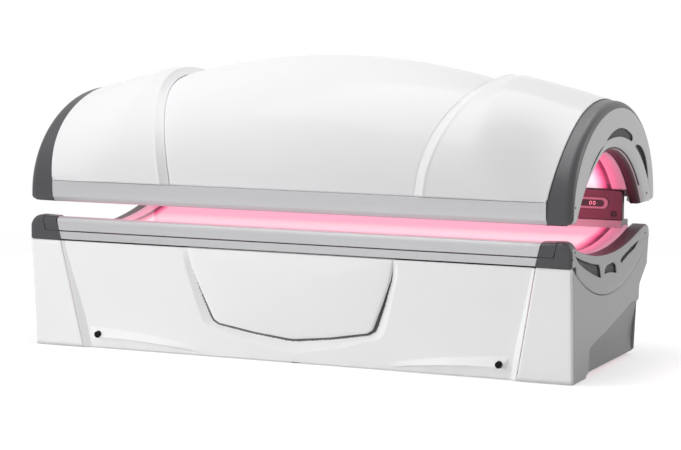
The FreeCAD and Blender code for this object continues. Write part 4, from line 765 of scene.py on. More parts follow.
def signedDistance(x, z, outline):
    # distance to a closed outline, negative inside: least distance to its edges, sign by crossings
    best, inside = np.full(x.shape, 9.0), np.zeros(x.shape, bool)
    points = np.asarray(outline, float)
    for a, b in zip(points, np.roll(points, -1, 0)):
        edge = b - a
        t = np.clip(((x - a[0]) * edge[0] + (z - a[1]) * edge[1]) / (edge @ edge), 0, 1)
        best = np.minimum(best, np.hypot(x - a[0] - t * edge[0], z - a[1] - t * edge[1]))
        cut = a[0] + (z - a[1]) / np.where(abs(edge[1]) < 1e-12, 1e-12, edge[1]) * edge[0]
        inside ^= ((a[1] > z) != (b[1] > z)) & (x < cut)
    return np.where(inside, -best, best)


def bothSides(points):
    # a half outline in millimetres, from the top down to the middle, joined to its mirror image
    points = np.array(points, float) * mm
    return np.concatenate([points, points[::-1][1:] * [-1, 1]])


def downShare(z):
    # 0 at the panel's top edge and 1 at its foot
    return (panelHigh - z) / (panelHigh - frontPanel["low"])


def creaseAt(z):
    # how far the crease between panel and post stands from the middle
    return between(creaseHigh, frontPanel["creaseLow"], downShare(z))


def panelInset(z):
    # how far the panel's plane lies behind the posts: deeper towards the foot
    p = frontPanel
    return between(p["insetHigh"], p["insetLow"], smooth(downShare(z) / p["insetEnd"]))


def shieldGap(reach, z):
    # width of the groove round the shield: closed at the top, widest at the lower corners
    p, (leastUp, leastIn) = frontPanel, frontPanel["gapLeast"]
    rising, sideways = smooth((p["gapTop"] - z) / p["gapGrow"]), smooth((reach - p["gapIn"]) / p["gapSpread"])
    return p["gap"] * between(leastUp, 1, rising) * between(leastIn, 1, sideways)


def frontHeight(x, z):
    # height over the posts' faces: bevel down to the panel, band and groove round the shield, fin at the foot
    p, reach = frontPanel, np.abs(x)
    width = between(p["bevelHigh"], p["bevelLow"], smooth(downShare(z) / p["insetEnd"]))
    height = -panelInset(z) * np.clip((creaseAt(z) - reach) / width, 0, 1)
    outer = np.clip(-signedDistance(reach, z, bothSides(shieldOuter)), 0, 1)
    inner = signedDistance(reach, z, bothSides(shieldInner)) - shieldGap(reach, z) / 2
    band = outer / np.maximum(outer + np.clip(inner, 0, 1), 1e-6)
    hole = smooth(-inner / p["holeEdge"])
    sunk = p["band"] * band * (1 - hole) + p["hole"] * hole
    height -= sunk * smooth((p["bandTop"] - z) / p["bandGrow"])
    top, crest, foot = (np.interp(reach, *(np.array(line, float).T * mm)) for line in finLines)
    fin = np.where(z > crest, (top - z) / np.maximum(top - crest, 1e-4),
                   (z - foot) / np.maximum(crest - foot, 1e-4))
    ending = p["finEnd"] + p["finSlant"] * np.clip(z - p["finMiddle"], -p["finSwing"], p["finSwing"])
    strength = smooth((reach - p["finStart"]) / p["finGrow"]) * np.clip((ending - reach) / p["finCut"], 0, 1)
    return height + p["fin"] * np.clip(fin, 0, 1) * strength


def panelPiece():
    # a grid over the panel, its height from frontHeight; finer along the fin, the shield and the creases
    p = frontPanel
    z = np.r_[np.linspace(panelHigh - p["top"], 0.165, 44), np.linspace(0.165, p["low"], 76)]
    z = np.unique(z)[::-1][:, None]
    share = np.r_[np.linspace(0, 0.15, 19), np.linspace(0.15, 0.48, 84), np.linspace(0.48, 0.94, 56),
                  np.linspace(0.94, 1, 20)]
    x = (creaseAt(z) - p["joint"]) * np.unique(np.r_[-share, share])[None]
    z = z + 0 * x
    height = frontHeight(x, z)
    obj = gridMesh("frontPanel", leaned(x, height, z), turn=True)
    addWall(obj, p["wall"])
    dress(obj, "front_panel", "panel_white", ["panelWhite", "paintedGrooveShade"], "front_panel")
    # faces lying deeper than the shade depth get the darker grey: painted shade
    deep = height + panelInset(z) < -p["shade"]
    paint(obj, deep[:-1, :-1] & deep[1:, 1:])  # painted shade: the bottom of the groove is coloured dark


shield = {"spine": 0.30, "rim": 0.010, "top": 0.0022, "proud": 0.002, "crown": 0.0085, "skirt": 0.022,
          "tuck": 0.004}


def shieldPiece():
    # rings shrunk from the groove's inner side to a line up the middle; crowned face, its rim rolled under
    s = shield
    edge = resample(np.array(shieldInner, float) * mm, 60)
    ring = np.concatenate([edge, (edge * [-1, 1])[::-1][1:]])
    ring = np.concatenate([ring, resample([ring[-1], ring[0]], 40)[1:-1]])
    spine = np.stack([ring[:, 0] * 0.0, s["spine"] + 0 * ring[:, 1]], -1)
    away = unit(spine - ring)
    start = ring + away * (shieldGap(np.abs(ring[:, 0]), ring[:, 1]) / 2)[:, None]
    plane = -panelInset(ring[:, 1])
    loops = [(start + away * s["tuck"], plane - s["skirt"])]
    for turn in np.linspace(0, math.pi / 2, 7):
        loops.append((start + away * s["rim"] * (1 - math.cos(turn)),
                      plane + s["proud"] + s["rim"] * (math.sin(turn) - 1)))
    last = loops[-1][0]
    for t in np.r_[0.03, 0.06, np.linspace(0.1, 0.97, 24), 1]:
        ring = between(last, spine, t)
        loops.append((ring, -panelInset(ring[:, 1]) + s["proud"] + s["crown"] * (1 - (1 - t) ** 2) ** 0.8))
    points = [leaned(ring[:, 0], out, np.minimum(ring[:, 1], panelHigh - s["top"])) for ring, out in loops]
    dress(tube("shieldPanel", points, caps=False), "front_panel", "panel_white", "panelWhite", "shield_panel")


post = {"round": 0.010, "back": 0.022, "wall": 0.004, "seamDepth": 0.0012, "seamWidth": 0.0015}


def postPiece(sideName, side):
    # plan section of the corner, flat face and rounded outer edge, carried down the leaning crease
    turn = np.linspace(0, math.pi / 2, 9)
    radius, back = post["round"], -post["back"]
    rows = []
    for z in np.linspace(panelHigh, frontPanel["low"], 24):
        crease = creaseAt(z) + frontPanel["seam"]
        x = np.r_[crease + 0.003, crease, crease + post["seamWidth"],
                  np.linspace(crease + 0.01, half - radius - 0.01, 6), half - radius + radius * np.sin(turn),
                  half - post["wall"], half - post["wall"]]
        out = np.r_[back, -post["seamDepth"], 0, np.zeros(6), radius * (np.cos(turn) - 1), -radius, back]
        rows.append(leaned(x, out, z - frontPanel["joint"]))
    obj = tube(f"cornerPost_{sideName}", mirrored(rows, side), turn=side > 0)
    dress(obj, "bench", "panel_white", "panelWhite", f"corner_post_{sideName}")


# profile as (radius, lift) from the back to the middle of the face; the key bar as half its width and height,
# and its two lifts
lock = {
    "reach": 0.837, "z": 0.0565, "out": 0.0225,
    "profile": [(0, -0.018), (0.0130, -0.018), (0.0130, 0), (0.0122, 0.0008), (0.0112, 0.0008),
                (0.0104, -0.0004), (0, -0.0006)],
    "bar": (0.0050, 0.0008), "barLifts": (-0.0010, 0.0002),
}


def lockPiece(sideName, side):
    # turned round its axis: a rim and a dished face, with a key bar across it
    turn = np.linspace(0, 2 * math.pi, 40, endpoint=False)
    out = lock["out"] - float(panelInset(lock["z"]))

    def place(across, up, lift):
        # measured from the middle of the lock's face
        return leaned(side * lock["reach"] + across, out + lift, lock["z"] + up)

    disc = [place(radius * np.cos(turn), radius * np.sin(turn), lift) for radius, lift in lock["profile"]]
    across, up = np.array([(-1, -1), (1, -1), (1, 1), (-1, 1)]).T * np.array(lock["bar"])[:, None]
    bar = [place(across, up, lift) for lift in lock["barLifts"]]
    body = f"panel_lock_{sideName}"
    dress(tube(f"panelLock_{sideName}", disc, caps=False), body, "spring_black", "lockBlack", body)
    dress(tube(f"lockKeyBar_{sideName}", bar), body, "spring_black", "lockBlack")


panelPiece()
shieldPiece()
for sideName, side in sides.items():
    postPiece(sideName, side)
    lockPiece(sideName, side)
print("front of the bench made")


# corner caps of the bench rail

corner = {"round": 0.042, "split": 1.052, "splitTop": 1.062, "rise": 0.004, "roll": 0.020, "rollStart": 0.01,
          "plan": 0.010, "planStart": 1.07, "depth": 0.057, "gap": 0.0006, "lidGap": 0.0026, "edge": 0.0012,
          "proud": 0.001, "lidProud": 0.0004, "rollGrow": 0.03, "planGrow": 0.045}
cornerTop = benchTop + corner["rise"]


def rolledTop(points):
    # lowers what lies near the front's upper edge and draws in the outer upright edge by an arc in plan
    behind, start = points[..., 1] - front, profileLow + corner["rollStart"]
    points[..., 2] -= rollDrop(behind, corner["roll"]) * smooth((points[..., 2] - start) / corner["rollGrow"])
    outside = smooth((np.abs(points[..., 0]) - corner["planStart"]) / corner["planGrow"])
    pull = rollDrop(behind, corner["plan"]) * outside
    points[..., 0] -= np.sign(points[..., 0]) * pull
    return points


def cornerBlock(name, outline, side, proud, *nodes):
    # the outline carried back from the front, closely at first, where its edges roll
    steps = np.r_[0, 0.01, 0.03, 0.07, 0.12, 0.17, 0.23, 0.3, 0.4, 0.7, 1]
    stations = front - proud + corner["depth"] * steps
    obj = tube(name, rolledTop(np.array([xyz(outline[:, 0] * side, y, outline[:, 1]) for y in stations])))
    bevel(obj, corner["edge"])
    dress(obj, "bench", "anthracite", "anthracitePlastic", *nodes)


outerEdge, capFoot, capStep = half - corner["gap"], stripLow - 0.002, profileLow - 0.001
capLine = roundedOutline([
    (cornerSeam(stripLow), capFoot), (outerEdge, capFoot), (outerEdge, cornerTop, corner["round"]),
    (corner["splitTop"], cornerTop, 0.002), (corner["split"], capStep, 0.002),
    (cornerSeam(profileLow), capStep)], 14)
lidFoot = profileLow + corner["gap"]
lidLine = roundedOutline([
    (cornerSeam(profileLow), lidFoot), (corner["split"] - corner["lidGap"], lidFoot, 0.002),
    (corner["splitTop"] - corner["lidGap"], cornerTop - corner["gap"], 0.001),
    (cornerSeam(cornerTop), cornerTop - 0.003)])
for sideName, side in sides.items():
    cornerBlock(f"cornerCap_{sideName}", capLine, side, corner["proud"], f"corner_cap_{sideName}")
    cornerBlock(f"cornerInsert_{sideName}", lidLine, side, corner["lidProud"],
                *(["corner_inserts"] if side > 0 else []))
print("corner caps made")


# bench end caps

endCap = {
    "front": front + 0.0106, "back": 0.474, "lip": 0.010, "flange": 0.058, "depth": 0.014, "inner": 0.022,
    "nose": 0.024, "tailStart": 0.33, "tailBend": 0.45, "tailRound": 0.035, "cornerBack": -0.489,
    "joint": 0.0008, "least": 0.012, "round": 0.0012, "brow": 0.006, "ventTop": 0.003, "openWidth": 0.006,
    "brink": (0.0008, 0.003), "brinkEdge": (0.0004, 0.0014), "leastVent": 0.2,
}
hollow = (-0.055, 0.438, 1.632)  # middle, lowest height and radius of the hollow's arc
capArc = (-0.045, 0.285, 0.890)  # the same for the seam under the end cap
hollowMiddle, hollowLow, hollowRadius = hollow
benchVents = (
    (((-505, 473), (-410, 447), (-295, 423), (-206, 410), (-188, 392), (-178, 360)),
     ((-505, 472), (-447, 438), (-370, 410), (-273, 381), (-178, 358))),
    (((-131, 370), (-126, 386), (-97, 397), (-17, 400), (15, 386), (28, 356)),
     ((-131, 368), (-55, 366), (28, 355))),
    (((82, 397), (107, 409), (232, 435), (328, 449)),
     ((82, 394), (93, 384), (181, 406), (276, 423), (328, 447))),
)


def hollowTail(y):
    # behind the hollow the edge flattens out and rolls down to the back
    c = endCap
    along, slope = y - c["tailStart"], (c["tailStart"] - hollowMiddle) / hollowRadius
    rise = arcHeight(c["tailStart"], *hollow) + slope * along - slope * along ** 2 / c["tailBend"]
    return rise - rollDrop(c["back"] - y, c["tailRound"])


def hollowHeight(y):
    # top edge of the end cap: an arc of the hollow, rolled down at the front and at the back
    c = endCap
    arc = np.where(y > c["tailStart"], hollowTail(y), arcHeight(y, *hollow))
    return arc - rollDrop(y - c["front"], c["nose"])


def edgeLine(y, line):
    # height over y of a line of (y, z) points
    return np.interp(y, *np.array(line, float).T)


def endCapSurface():
    # one closed loop per y: end face with the vent's recess, rolled upper edge, flange, inside wall
    c = endCap
    y = np.unique(np.r_[np.linspace(c["front"], c["front"] + 0.03, 16),
                        np.linspace(c["front"], c["back"], 290), np.linspace(0.435, c["back"], 20)])
    seam = np.maximum(arcHeight(y, *capArc), np.where(y < c["cornerBack"], stripLow, 0)) + c["joint"]
    topEdge = np.maximum(hollowHeight(y), seam + c["least"])
    lipFoot = topEdge - c["lip"]
    centre, width = middleAndWidth(y / mm, benchVents, edgeLine,
                                   lambda wide, *_: np.maximum(wide, c["leastVent"]))
    centre = np.clip(centre, seam + c["brow"], lipFoot - c["brow"])
    upper, lower = np.minimum(centre + width / 2, lipFoot - c["ventTop"]), centre - width / 2
    opening = np.clip(width / c["openWidth"], 0, 1)
    flat, extra = c["brinkEdge"]
    deep, edge, under = c["depth"] * opening, flat + extra * opening, lower - c["ventTop"]
    slight, further = (sink * opening for sink in c["brink"])
    # each row as how far it lies behind the end face, its height and its kind
    rows = [(c["inner"], seam, 0), (c["round"], seam, 0), (0, seam + c["round"], 0)]
    rows += [(0, between(seam, under, t), 0) for t in (0.3, 0.7, 1)]
    rows += [(0, lower - edge, 0), (slight, lower - edge * 0.3, 0), (further, lower, 1),
             (deep, lower + flat, 1), (deep, (lower + upper) / 2, 1), (deep, upper - flat, 1),
             (further, upper, 0), (slight, upper + edge * 0.3, 0), (0, upper + edge, 0),
             (0, between(upper, lipFoot, 0.5), 0)]
    rows += [(c["lip"] * (1 - math.cos(turn)), topEdge - c["lip"] * (1 - math.sin(turn)),
              0 if turn < 0.9 else 2) for turn in np.linspace(0, math.pi / 2, 6)]
    rows += [(between(c["lip"], c["flange"], t), topEdge, 2) for t in (0.3, 0.7, 1)]
    rows += [(c["flange"], lipFoot, 2), (c["inner"], lipFoot, 2)]
    return np.stack([xyz(half - behind, y, z) for behind, z, _ in rows], 1), [kind for *_, kind in rows]


endPieces("benchEndCap", endCapSurface(), 1, 2, "bench", "end_grey",
          ["benchGreyPlastic", "ventBlack", "innerAnthracitePaintedRedLight"], "bench_end_cap")

endPanel = {"wall": 0.003, "rows": 110, "cols": 180, "front": front + 0.0112, "lean": 0.0385, "foot": 0.003,
            "back": 0.4705, "top": 0.446, "joint": 0.0032, "step": 0.007, "stepWidth": 0.012, "slope": 0.024,
            "slopeWidth": 0.25, "behindHalf": 0.0004, "tuckIn": 0.005, "tuckUp": (0.0006, 0.012),
            "shade": 0.004}
rearOutline = [(0.317, 0.015), (0.355, 0.272), (0.362, 0.281), (0.445, 0.340), (0.455, 0.349),
               (0.4705, 0.446)]
recessLine = [(0.420, 0.215), (0.249, 0.217), (0.041, 0.174), (-0.080, 0.149), (-0.275, 0.118),
              (-0.303, 0.106), (-0.314, 0.064), (-0.330, -0.050), (0.420, -0.050)]


def endPanelSurface():
    # Coons patch between the seam's arc, the foot line, the post's edge and the rear outline, set in below
    # its crease
    e = endPanel
    s, t = np.linspace(0, 1, e["cols"]), np.linspace(0, 1, e["rows"])
    frontFoot = e["front"] + e["lean"]
    foot = resample([(frontFoot, e["foot"]), (-0.348, e["foot"]), (-0.336, 0.015), (0.317, 0.015)], e["cols"])
    y = np.linspace(e["front"], e["back"], e["cols"])
    arc = np.stack([y, np.minimum(arcHeight(y, *capArc) - e["joint"], e["top"])], -1)
    left = np.stack([between(frontFoot, e["front"], t), between(e["foot"], arc[0, 1], t)], -1)
    rear = resample(rearOutline, e["rows"])
    rear = rear + (arc[-1] - rear[-1]) * t[:, None]
    s, t = s[None, :, None], t[:, None, None]
    patch = (1 - t) * foot[None] + t * arc[None] + (1 - s) * left[:, None] + s * rear[:, None] \
        - ((1 - s) * (1 - t) * foot[0] + s * (1 - t) * foot[-1] + (1 - s) * t * arc[0] + s * t * arc[-1])
    y, z = patch[..., 0], patch[..., 1]
    inside = -signedDistance(y, z, recessLine)
    sink = e["step"] * smooth(inside / e["stepWidth"]) + e["slope"] * np.clip(inside / e["slopeWidth"], 0, 1)
    points = xyz(half - e["behindHalf"] - sink, y, z)
    # two more rows step in and go up behind the end cap, so that the joint is closed
    first, second = e["tuckUp"]
    behind = points[-1:] + [-e["tuckIn"], 0, first]
    return np.concatenate([points, behind, behind + [0, 0, second]])


panelPoints = endPanelSurface()
faceMiddles = (panelPoints[:-1, :-1] + panelPoints[1:, 1:]) / 2
for sideName, side in sides.items():
    piece = gridMesh(f"benchEndPanel_{sideName}", mirrored(panelPoints, side), turn=side < 0)
    addWall(piece, endPanel["wall"])
    dress(piece, "bench", "end_grey", ["benchGreyPlastic", "recessPaintedShadeGrey"],
          f"bench_end_panel_{sideName}")
    # faces inside the recess, past the shade margin, get the darker copy of the grey: painted shade
    paint(piece, signedDistance(faceMiddles[..., 1], faceMiddles[..., 2], recessLine) < -endPanel["shade"])

slats = {"half": 0.0011, "deep": 0.003, "over": 0.03, "turn": 1.9, "step": 15.0, "slant": 3,
         "canopyDepth": 0.010, "benchDepth": 0.008, "canopyEnds": (1.6, 1.0), "benchEnds": (12, 4)}
boxFaces = np.array([(0, 1, 2, 3), (7, 6, 5, 4), (0, 4, 5, 1), (1, 5, 6, 2), (2, 6, 7, 3), (3, 7, 4, 0)])


def grilleBars(name, stations, depth, side, body):
    # slats across a vent and one strip along its middle: every bar is a box between two (y, z) ends
    bars = []
    for lows, highs in stations:
        over, middle = (highs - lows) * slats["over"], (lows + highs) / 2
        bars += [*zip(lows - over, highs + over), *zip(middle[:-1], middle[1:])]
    starts, stops = np.array(bars).transpose(1, 0, 2)
    along = unit(stops - starts)
    across = np.stack([-along[:, 1], along[:, 0]], -1) * slats["half"]
    corners = np.stack([starts - across, starts + across, stops + across, stops - across], 1)
    points = np.stack([xyz(half - depth - back, *np.moveaxis(corners, -1, 0))
                       for back in (0, slats["deep"])], 1)
    faces = (boxFaces[None] + 8 * np.arange(len(bars))[:, None, None]).reshape(-1, 4).tolist()
    dress(outward(putMesh(name, mirrored(points, side), faces)), body, "vent_black", "grilleGrey")


def ventStations():
    # the ends of the slats: across the canopy's vents by angle, up and down across the bench's vents
    canopy, bench = [], []
    (canopyStart, canopyStop), (benchStart, benchStop) = slats["canopyEnds"], slats["benchEnds"]
    for upper, lower in capVents:
        degrees = np.arange(upper[0][0] + canopyStart, upper[-1][0] - canopyStop, slats["turn"])
        canopy.append([np.stack(onArch(caps["arch"] + throughThree(degrees, edge) * mm,
                                       np.radians(degrees)), -1) for edge in (lower, upper)])
    for upper, lower in benchVents:
        y = np.arange(upper[0][0] + benchStart, upper[-1][0] - benchStop, slats["step"])
        bench.append([np.stack([y + shift, edgeLine(y, edge)], -1) * mm
                      for edge, shift in ((lower, slats["slant"]), (upper, -slats["slant"]))])
    return canopy, bench


canopySlats, benchSlats = ventStations()
for sideName, side in sides.items():
    grilleBars(f"canopyGrille_{sideName}", canopySlats, slats["canopyDepth"], side, "canopy")
    grilleBars(f"benchGrille_{sideName}", benchSlats, slats["benchDepth"], side, "bench")
print("bench ends made")


# acrylics, lamps and reflectors

lamps = {"radius": 0.019, "endRadius": 0.016, "dome": 0.003, "tip": 0.002, "sides": 24, "pitch": 0.045,
         "benchCount": 14, "canopyCount": 21, "circle": 0.556, "gap": 0.031}
sheets = {"endStep": 0.06, "rimStart": 0.31, "rimSpan": 0.11, "rimStep": 0.001}


def sheetReach(reach):
    # places along a sheet, with one long step at either end
    inner = reach - sheets["endStep"]
    return np.r_[-reach, np.linspace(-inner, inner, 25), reach]


def archSheet(name, radius, startZ, stopZ, reach, thick, slotName, names, node):
    # a sheet rolled about the arch's centre between two foot heights
    start, stop = (math.acos((z - caps["archZ"]) / radius) for z in (startZ, stopZ))
    y, z = onArch(radius, np.linspace(-start, stop, 90)[:, None])
    obj = gridMesh(name, xyz(sheetReach(reach)[None], y, z), turn=True)
    addWall(obj, thick, 1, 1)
    dress(obj, "canopy", slotName, names, node)


def hollowSheet(name, drop, reach, width, thick, slotName, names, node, rim=0.0):
    # a sheet that follows the bench's hollow, drop below its edge; rim lifts its border to make a trough
    y, x, step = np.linspace(-width, width, 60)[:, None], sheetReach(reach), sheets["rimStep"]
    if rim:
        x = np.r_[-reach - step, x, reach + step]
    across = smooth((np.abs(y) - sheets["rimStart"]) / sheets["rimSpan"])
    lift = rim * np.maximum(across, np.clip((np.abs(x[None]) - reach) / step, 0, 1))
    z = hollowLow + hollowRadius - np.sqrt((hollowRadius + drop - lift) ** 2 - y ** 2)
    obj = gridMesh(name, xyz(x[None], hollowMiddle + y, z), turn=True)
    addWall(obj, thick, -1, 1)
    dress(obj, "bench", slotName, names, node)


def lampTubes(name, y, z, body, node):
    # round tubes along the bed with domed, darker ends: a profile of (x, radius) turned about each axis
    turn = np.linspace(0, 2 * math.pi, lamps["sides"], endpoint=False)
    near = np.array([(lampEnd, lamps["tip"]), (lampEnd, lamps["endRadius"]),
                     (lampEnd - lamps["dome"], lamps["radius"]), (0.5, lamps["radius"])])
    profile = np.concatenate([near * [-1, 1], [(0, lamps["radius"])], near[::-1]])
    x, radius = profile[:, :1], profile[:, 1:]
    points = [xyz(x, axisY + radius * np.cos(turn), axisZ + radius * np.sin(turn))
              for axisY, axisZ in zip(y, z)]
    ends, faces = np.arange(lamps["sides"]), []
    for base in np.arange(len(points)) * len(profile) * len(ends):
        quads = gridFaces(len(profile), len(ends), closeCols=True, turn=True) + base
        closed = [(ends + base + row * len(ends)).tolist() for row in (0, len(profile) - 1)]
        faces += quads.tolist() + closed
    dress(outward(putMesh(name, points, faces)), body, "lamp_glass", "lampGlow", node)


def centred(count, step):
    # count places at equal steps about nought
    return (np.arange(count) - (count - 1) / 2) * step


turns = centred(lamps["canopyCount"], lamps["pitch"] / lamps["circle"])
lampTubes("canopyLamps", *onArch(lamps["circle"], turns), "canopy", "canopy_lamps")
rowY = hollowMiddle + centred(lamps["benchCount"], lamps["pitch"])
lampTubes("benchLamps", rowY, arcHeight(rowY, *hollow) - lamps["gap"], "bench", "bench_lamps")
lit = {"names": ["canopyAcrylicLit"] * 2, "slotName": "clear_acrylic", "thick": 0.006}
backed = {"names": ["reflectorPaintedLampGlow", "sheetCoating"], "slotName": "reflector", "thick": 0.0012}
archSheet("canopyAcrylic", radius=caps["arch"], startZ=rearFoot, stopZ=0.650, reach=glassEnd,
          node="canopy_acrylic", **lit)
hollowSheet("benchAcrylic", drop=0.0, reach=glassEnd, width=0.435, node="bench_acrylic",
            **lit | {"names": ["benchAcrylicLit"] * 2})
archSheet("canopyReflector", radius=0.582, startZ=0.70, stopZ=0.70, reach=-low("canopy_reflector").x,
          node="canopy_reflector", **backed)
hollowSheet("benchReflector", drop=0.056, reach=lampEnd + 0.004, width=0.430, rim=0.048,
            node="bench_reflector", **backed)
print("lamps and sheets made")


# console

console = {"front": 0.345, "depth": 0.028, "low": 0.5225, "high": 0.641, "reach": 1.046, "middle": 0.588,
           "round": 0.006, "topRound": 0.014, "edge": 0.004}
bezel = {"start": 0.560, "end": 0.990, "height": 0.044, "side": 0.0028, "face": 0.004,
         "shrink": (0.996, 0.95), "foot": 0.0001, "inner": 0.0038}
window = {"start": 0.710, "end": 0.973, "height": 0.027, "gap": 0.0004, "face": 0.0028, "back": 0.0002,
          "edge": 0.0006}
digits = {"places": (0.9105, 0.9260), "low": 0.582, "high": 0.594, "wide": 0.0085, "slant": 0.002,
          "round": 0.003, "line": 0.0009, "lift": 0.0005, "out": 0.0030}
deck = {"front": 0.340, "behind": 0.033, "back": 0.434, "low": 0.452, "high": 0.5222, "short": 0.002,
        "edge": 0.0015}


def pill(piece, gap=0.0, steps=14):
    # slot outline: two straight runs joined by half circles
    start, end, radius = piece["start"] + gap, piece["end"] - gap, piece["height"] / 2 - gap
    turn = np.linspace(-math.pi / 2, math.pi / 2, steps)
    right = np.stack([end - radius + radius * np.cos(turn), console["middle"] + radius * np.sin(turn)], -1)
    left = np.stack([start + radius - radius * np.cos(turn), console["middle"] - radius * np.sin(turn)], -1)
    return np.concatenate([right, left])


def consolePieces():
    # a rounded housing, a ring of five slot outlines as its bezel, and the pane within it
    c, face = console, console["front"]
    body = roundedOutline([(x * c["reach"], c[level], c[radius]) for x, level, radius in (
        (-1, "low", "round"), (1, "low", "round"), (1, "high", "topRound"), (-1, "high", "topRound"))])
    housing = prism("consoleHousing", body, "y", (face, face + c["depth"]))
    bevel(housing, c["edge"], 3)
    dress(housing, "bench", "gloss_white", "consoleGrey", "console_housing")
    outer, inner = pill(bezel), pill(window)
    middle = np.array([(bezel["start"] + bezel["end"]) / 2, c["middle"]])
    shrunk = middle + (outer - middle) * bezel["shrink"]
    rings = ((outer, bezel["foot"]), (outer, bezel["side"]), (shrunk, bezel["face"]), (inner, bezel["inner"]),
             (inner, bezel["foot"]))
    ringPoints = [xyz(line[:, 0], face - out, line[:, 1]) for line, out in rings]
    ring = outward(gridMesh("consoleBezel", ringPoints, closeRows=True, closeCols=True))
    dress(ring, "bench", "rail_aluminium", "bezelGrey", "console_bezel")
    glass = prism("displayWindow", pill(window, window["gap"]), "y",
                  (face - window["face"], face - window["back"]))
    bevel(glass, window["edge"])
    dress(glass, "bench", "display_blue", "displayGlass", "display_window")


def digitPiece(name, x):
    # a plain zero: a rounded, slanting loop with a thin oval section
    d = digits
    path = roundedOutline([(x, d["low"], d["round"]), (x + d["wide"], d["low"], d["round"]),
                           (x + d["wide"] + d["slant"], d["high"], d["round"]),
                           (x + d["slant"], d["high"], d["round"])], 5)
    away = unit(path - path.mean(0))
    turn = np.linspace(0, 2 * math.pi, 8, endpoint=False)
    line = path[:, None] + away[:, None] * (d["line"] * np.cos(turn))[None, :, None]
    points = xyz(line[..., 0], console["front"] - d["out"] + d["lift"] * np.sin(turn), line[..., 1])
    digit = outward(gridMesh(name, points, closeRows=True, closeCols=True))
    dress(digit, "bench", "display_blue", "digitGlow")


def deckPiece():
    # the deck that the console stands on, ending with it
    frontFoot = high("console_housing").y - deck["behind"]
    line = roundedOutline([(frontFoot, deck["low"], 0.003), (deck["front"], deck["high"], 0.004),
                           (deck["back"], deck["high"], 0.006), (deck["back"], deck["low"], 0.003)])
    reach = console["reach"] - deck["short"]
    plate = prism("rearDeck", line, "x", (-reach, reach))
    bevel(plate, deck["edge"])
    dress(plate, "bench", "anthracite", "deckGrey", "rear_deck")


consolePieces()
for k, x in enumerate(digits["places"]):
    digitPiece(f"displayDigit_{k + 1}", x)
deckPiece()
print("console made")


# CAD nodes that stay

stays = {
    "sheetCoating": ["rear_panel", "base_tray", "power_box"],
    "frameCoating": ["base_frame", "canopy_frame", "canopy_hinge_arms", "hinge_brackets", "ballasts"],
    "footRubber": ["levelling_feet"],
    "turnedSteel": ["hinge_pins", "gas_spring_rod_left", "gas_spring_rod_right"],
    "springBlack": ["gas_spring_cylinders", "bench_fan_housings", "canopy_fan_housing",
                    "bench_fan_rotor_left", "bench_fan_rotor_right", "canopy_fan_rotor"],
    "ventBlack": ["bench_vent_plates", "canopy_vent_plates", "aux_socket", "mains_gland", "bench_end_screws",
                  "canopy_end_screws"],
    "holderWhite": ["bench_lamp_holders", "canopy_lamp_holders"],
    "buttonWhite": ["console_button_1", "console_button_2", "console_button_3"],
}
for name, nodes in stays.items():
    for node in nodes:
        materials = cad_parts[node].data.materials
        materials.clear()
        materials.append(finish[name])
print("CAD nodes dressed")


# floor, lights and camera

stage = {"size": 40, "shown": 0.80, "bounce": 0.55, "floorGlow": 0.50, "fadeStart": 1.8, "fadeStop": 4.5,
         "ambient": 0.16}
# place, target, size and power
lights = {
    "keyLight": ((-8.8, -6.2, 4.6), (0, 0, 0.5), (3.6, 2.4), 335),
    "topLight": ((-0.2, 0.1, 5.0), (0, 0, 0.6), (7.0, 2.2), 176),
    "frontLight": ((-3.4, -10.9, 1.6), (0, 0, 0.3), (3.6, 1.2), 492),
    "endLight": ((4.2, 1.4, 2.0), (1.1, 0, 0.5), (2.0, 2.0), 46),
}
lampLight = {"size": (1.9, 0.56), "power": 26, "color": (1.0, 0.07, 0.22),
             "canopy": ((0, -0.045, 0.815), -1), "bench": ((0, -0.055, 0.452), 1)}  # place, and down or up
view = {"lens": 120.42, "place": (3.5488, -8.3191, 1.4226), "yaw": 0.4048, "pitch": 0.1032, "roll": 0.0083}


def cameraLike(tree):
    # 1 for the camera's rays, mirrored ones and those seen through glass
    path = addNode(tree, "LightPath")
    value = path.outputs["Is Camera Ray"]
    for name in ("Is Transmission Ray", "Is Glossy Ray"):
        value = addNode(tree, "Math", value, path.outputs[name], operation="MAXIMUM").outputs[0]
    return value


def grey(level):
    # a level as a colour
    return level, level, level, 1


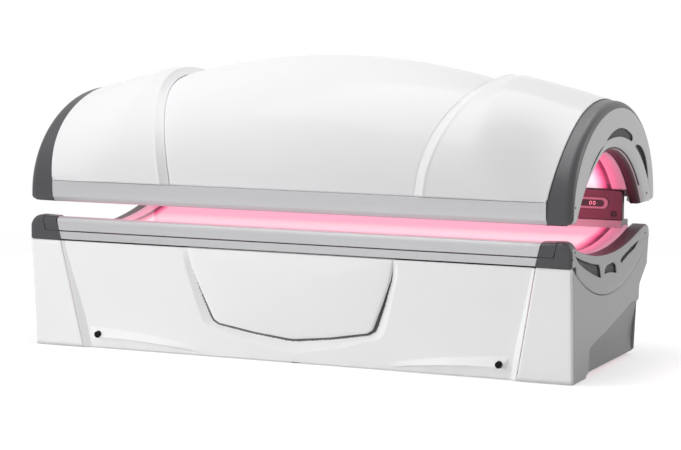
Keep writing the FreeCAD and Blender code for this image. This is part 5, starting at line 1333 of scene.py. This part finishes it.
def floorAndWorld():
    # a pale floor whose own white is added for the camera's, mirrored and refracted rays, and is all there is
    # of it further out; the world is white for the same rays
    size = stage["size"]
    floor = putMesh("floor", [(-size, -size, 0), (size, -size, 0), (size, size, 0), (-size, size, 0)],
                    [[0, 1, 2, 3]], False)
    material = bpy.data.materials.new("floorWhite")
    tree = emptyTree(material)
    near = addNode(tree, "AddShader", addNode(tree, "BsdfDiffuse", grey(stage["shown"])),
                   addNode(tree, "Emission", strength=stage["floorGlow"]))
    bounce = addNode(tree, "BsdfDiffuse", grey(stage["bounce"]))  # what the floor gives back to the bed
    place = addNode(tree, "TexCoord").outputs["Object"]
    distance = addNode(tree, "VectorMath", place, operation="LENGTH").outputs["Value"]
    fade = addNode(tree, "MapRange", distance, fromMin=stage["fadeStart"], fromMax=stage["fadeStop"])
    shown = addNode(tree, "MixShader", fade, near, addNode(tree, "Emission"))
    addNode(tree, "OutputMaterial", addNode(tree, "MixShader", cameraLike(tree), bounce, shown))
    floor.data.materials.append(material)
    world = bpy.data.worlds.new("studio")
    bpy.context.scene.world = world
    tree = emptyTree(world)
    soft, white = (addNode(tree, "Background", grey(1), strength) for strength in (stage["ambient"], 1.0))
    addNode(tree, "OutputWorld", addNode(tree, "MixShader", cameraLike(tree), soft, white))


def areaLight(name, place, target, size, power, color=(1, 1, 1)):
    # a rectangle of light that faces its target
    data = bpy.data.lights.new(name, "AREA")
    data.shape, data.size, data.size_y = "RECTANGLE", *size
    data.energy, data.color = power, color
    obj = bpy.data.objects.new(name, data)
    bpy.context.scene.collection.objects.link(obj)
    obj.location = place
    obj.rotation_euler = (Vector(target) - Vector(place)).to_track_quat("-Z", "Y").to_euler()
    return obj


def longCamera():
    # a long lens: turned about the vertical, tipped down and rolled a little
    data = bpy.data.cameras.new("camera")
    data.sensor_width, data.lens, data.clip_end = 36, view["lens"], 100
    obj = bpy.data.objects.new("camera", data)
    bpy.context.scene.collection.objects.link(obj)
    yaw, pitch, roll = view["yaw"], view["pitch"], view["roll"]
    forward = Vector((-math.sin(yaw) * math.cos(pitch), math.cos(yaw) * math.cos(pitch), -math.sin(pitch)))
    right = Vector((math.cos(yaw), math.sin(yaw), 0))
    up = right.cross(forward)
    axes = (right * math.cos(roll) + up * math.sin(roll), up * math.cos(roll) - right * math.sin(roll),
            -forward, Vector(view["place"]))
    obj.matrix_world = Matrix([[axis[k] for axis in axes] for k in range(3)] + [[0, 0, 0, 1]])
    bpy.context.scene.camera = obj


floorAndWorld()
for name, values in lights.items():
    light = areaLight(name, *values)
    light.visible_glossy = name in ("topLight", "endLight")  # the other two would leave streaks on the gloss
# the lamps' own red light on the bed's inside
for body in ("canopy", "bench"):
    place, aim = lampLight[body]
    light = areaLight(f"{body}LampLight", place, (0, place[1], place[2] + aim), lampLight["size"],
                      lampLight["power"], lampLight["color"])
    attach(light, body)
longCamera()
bpy.context.scene.view_settings.view_transform = "Standard"
print("stage made")
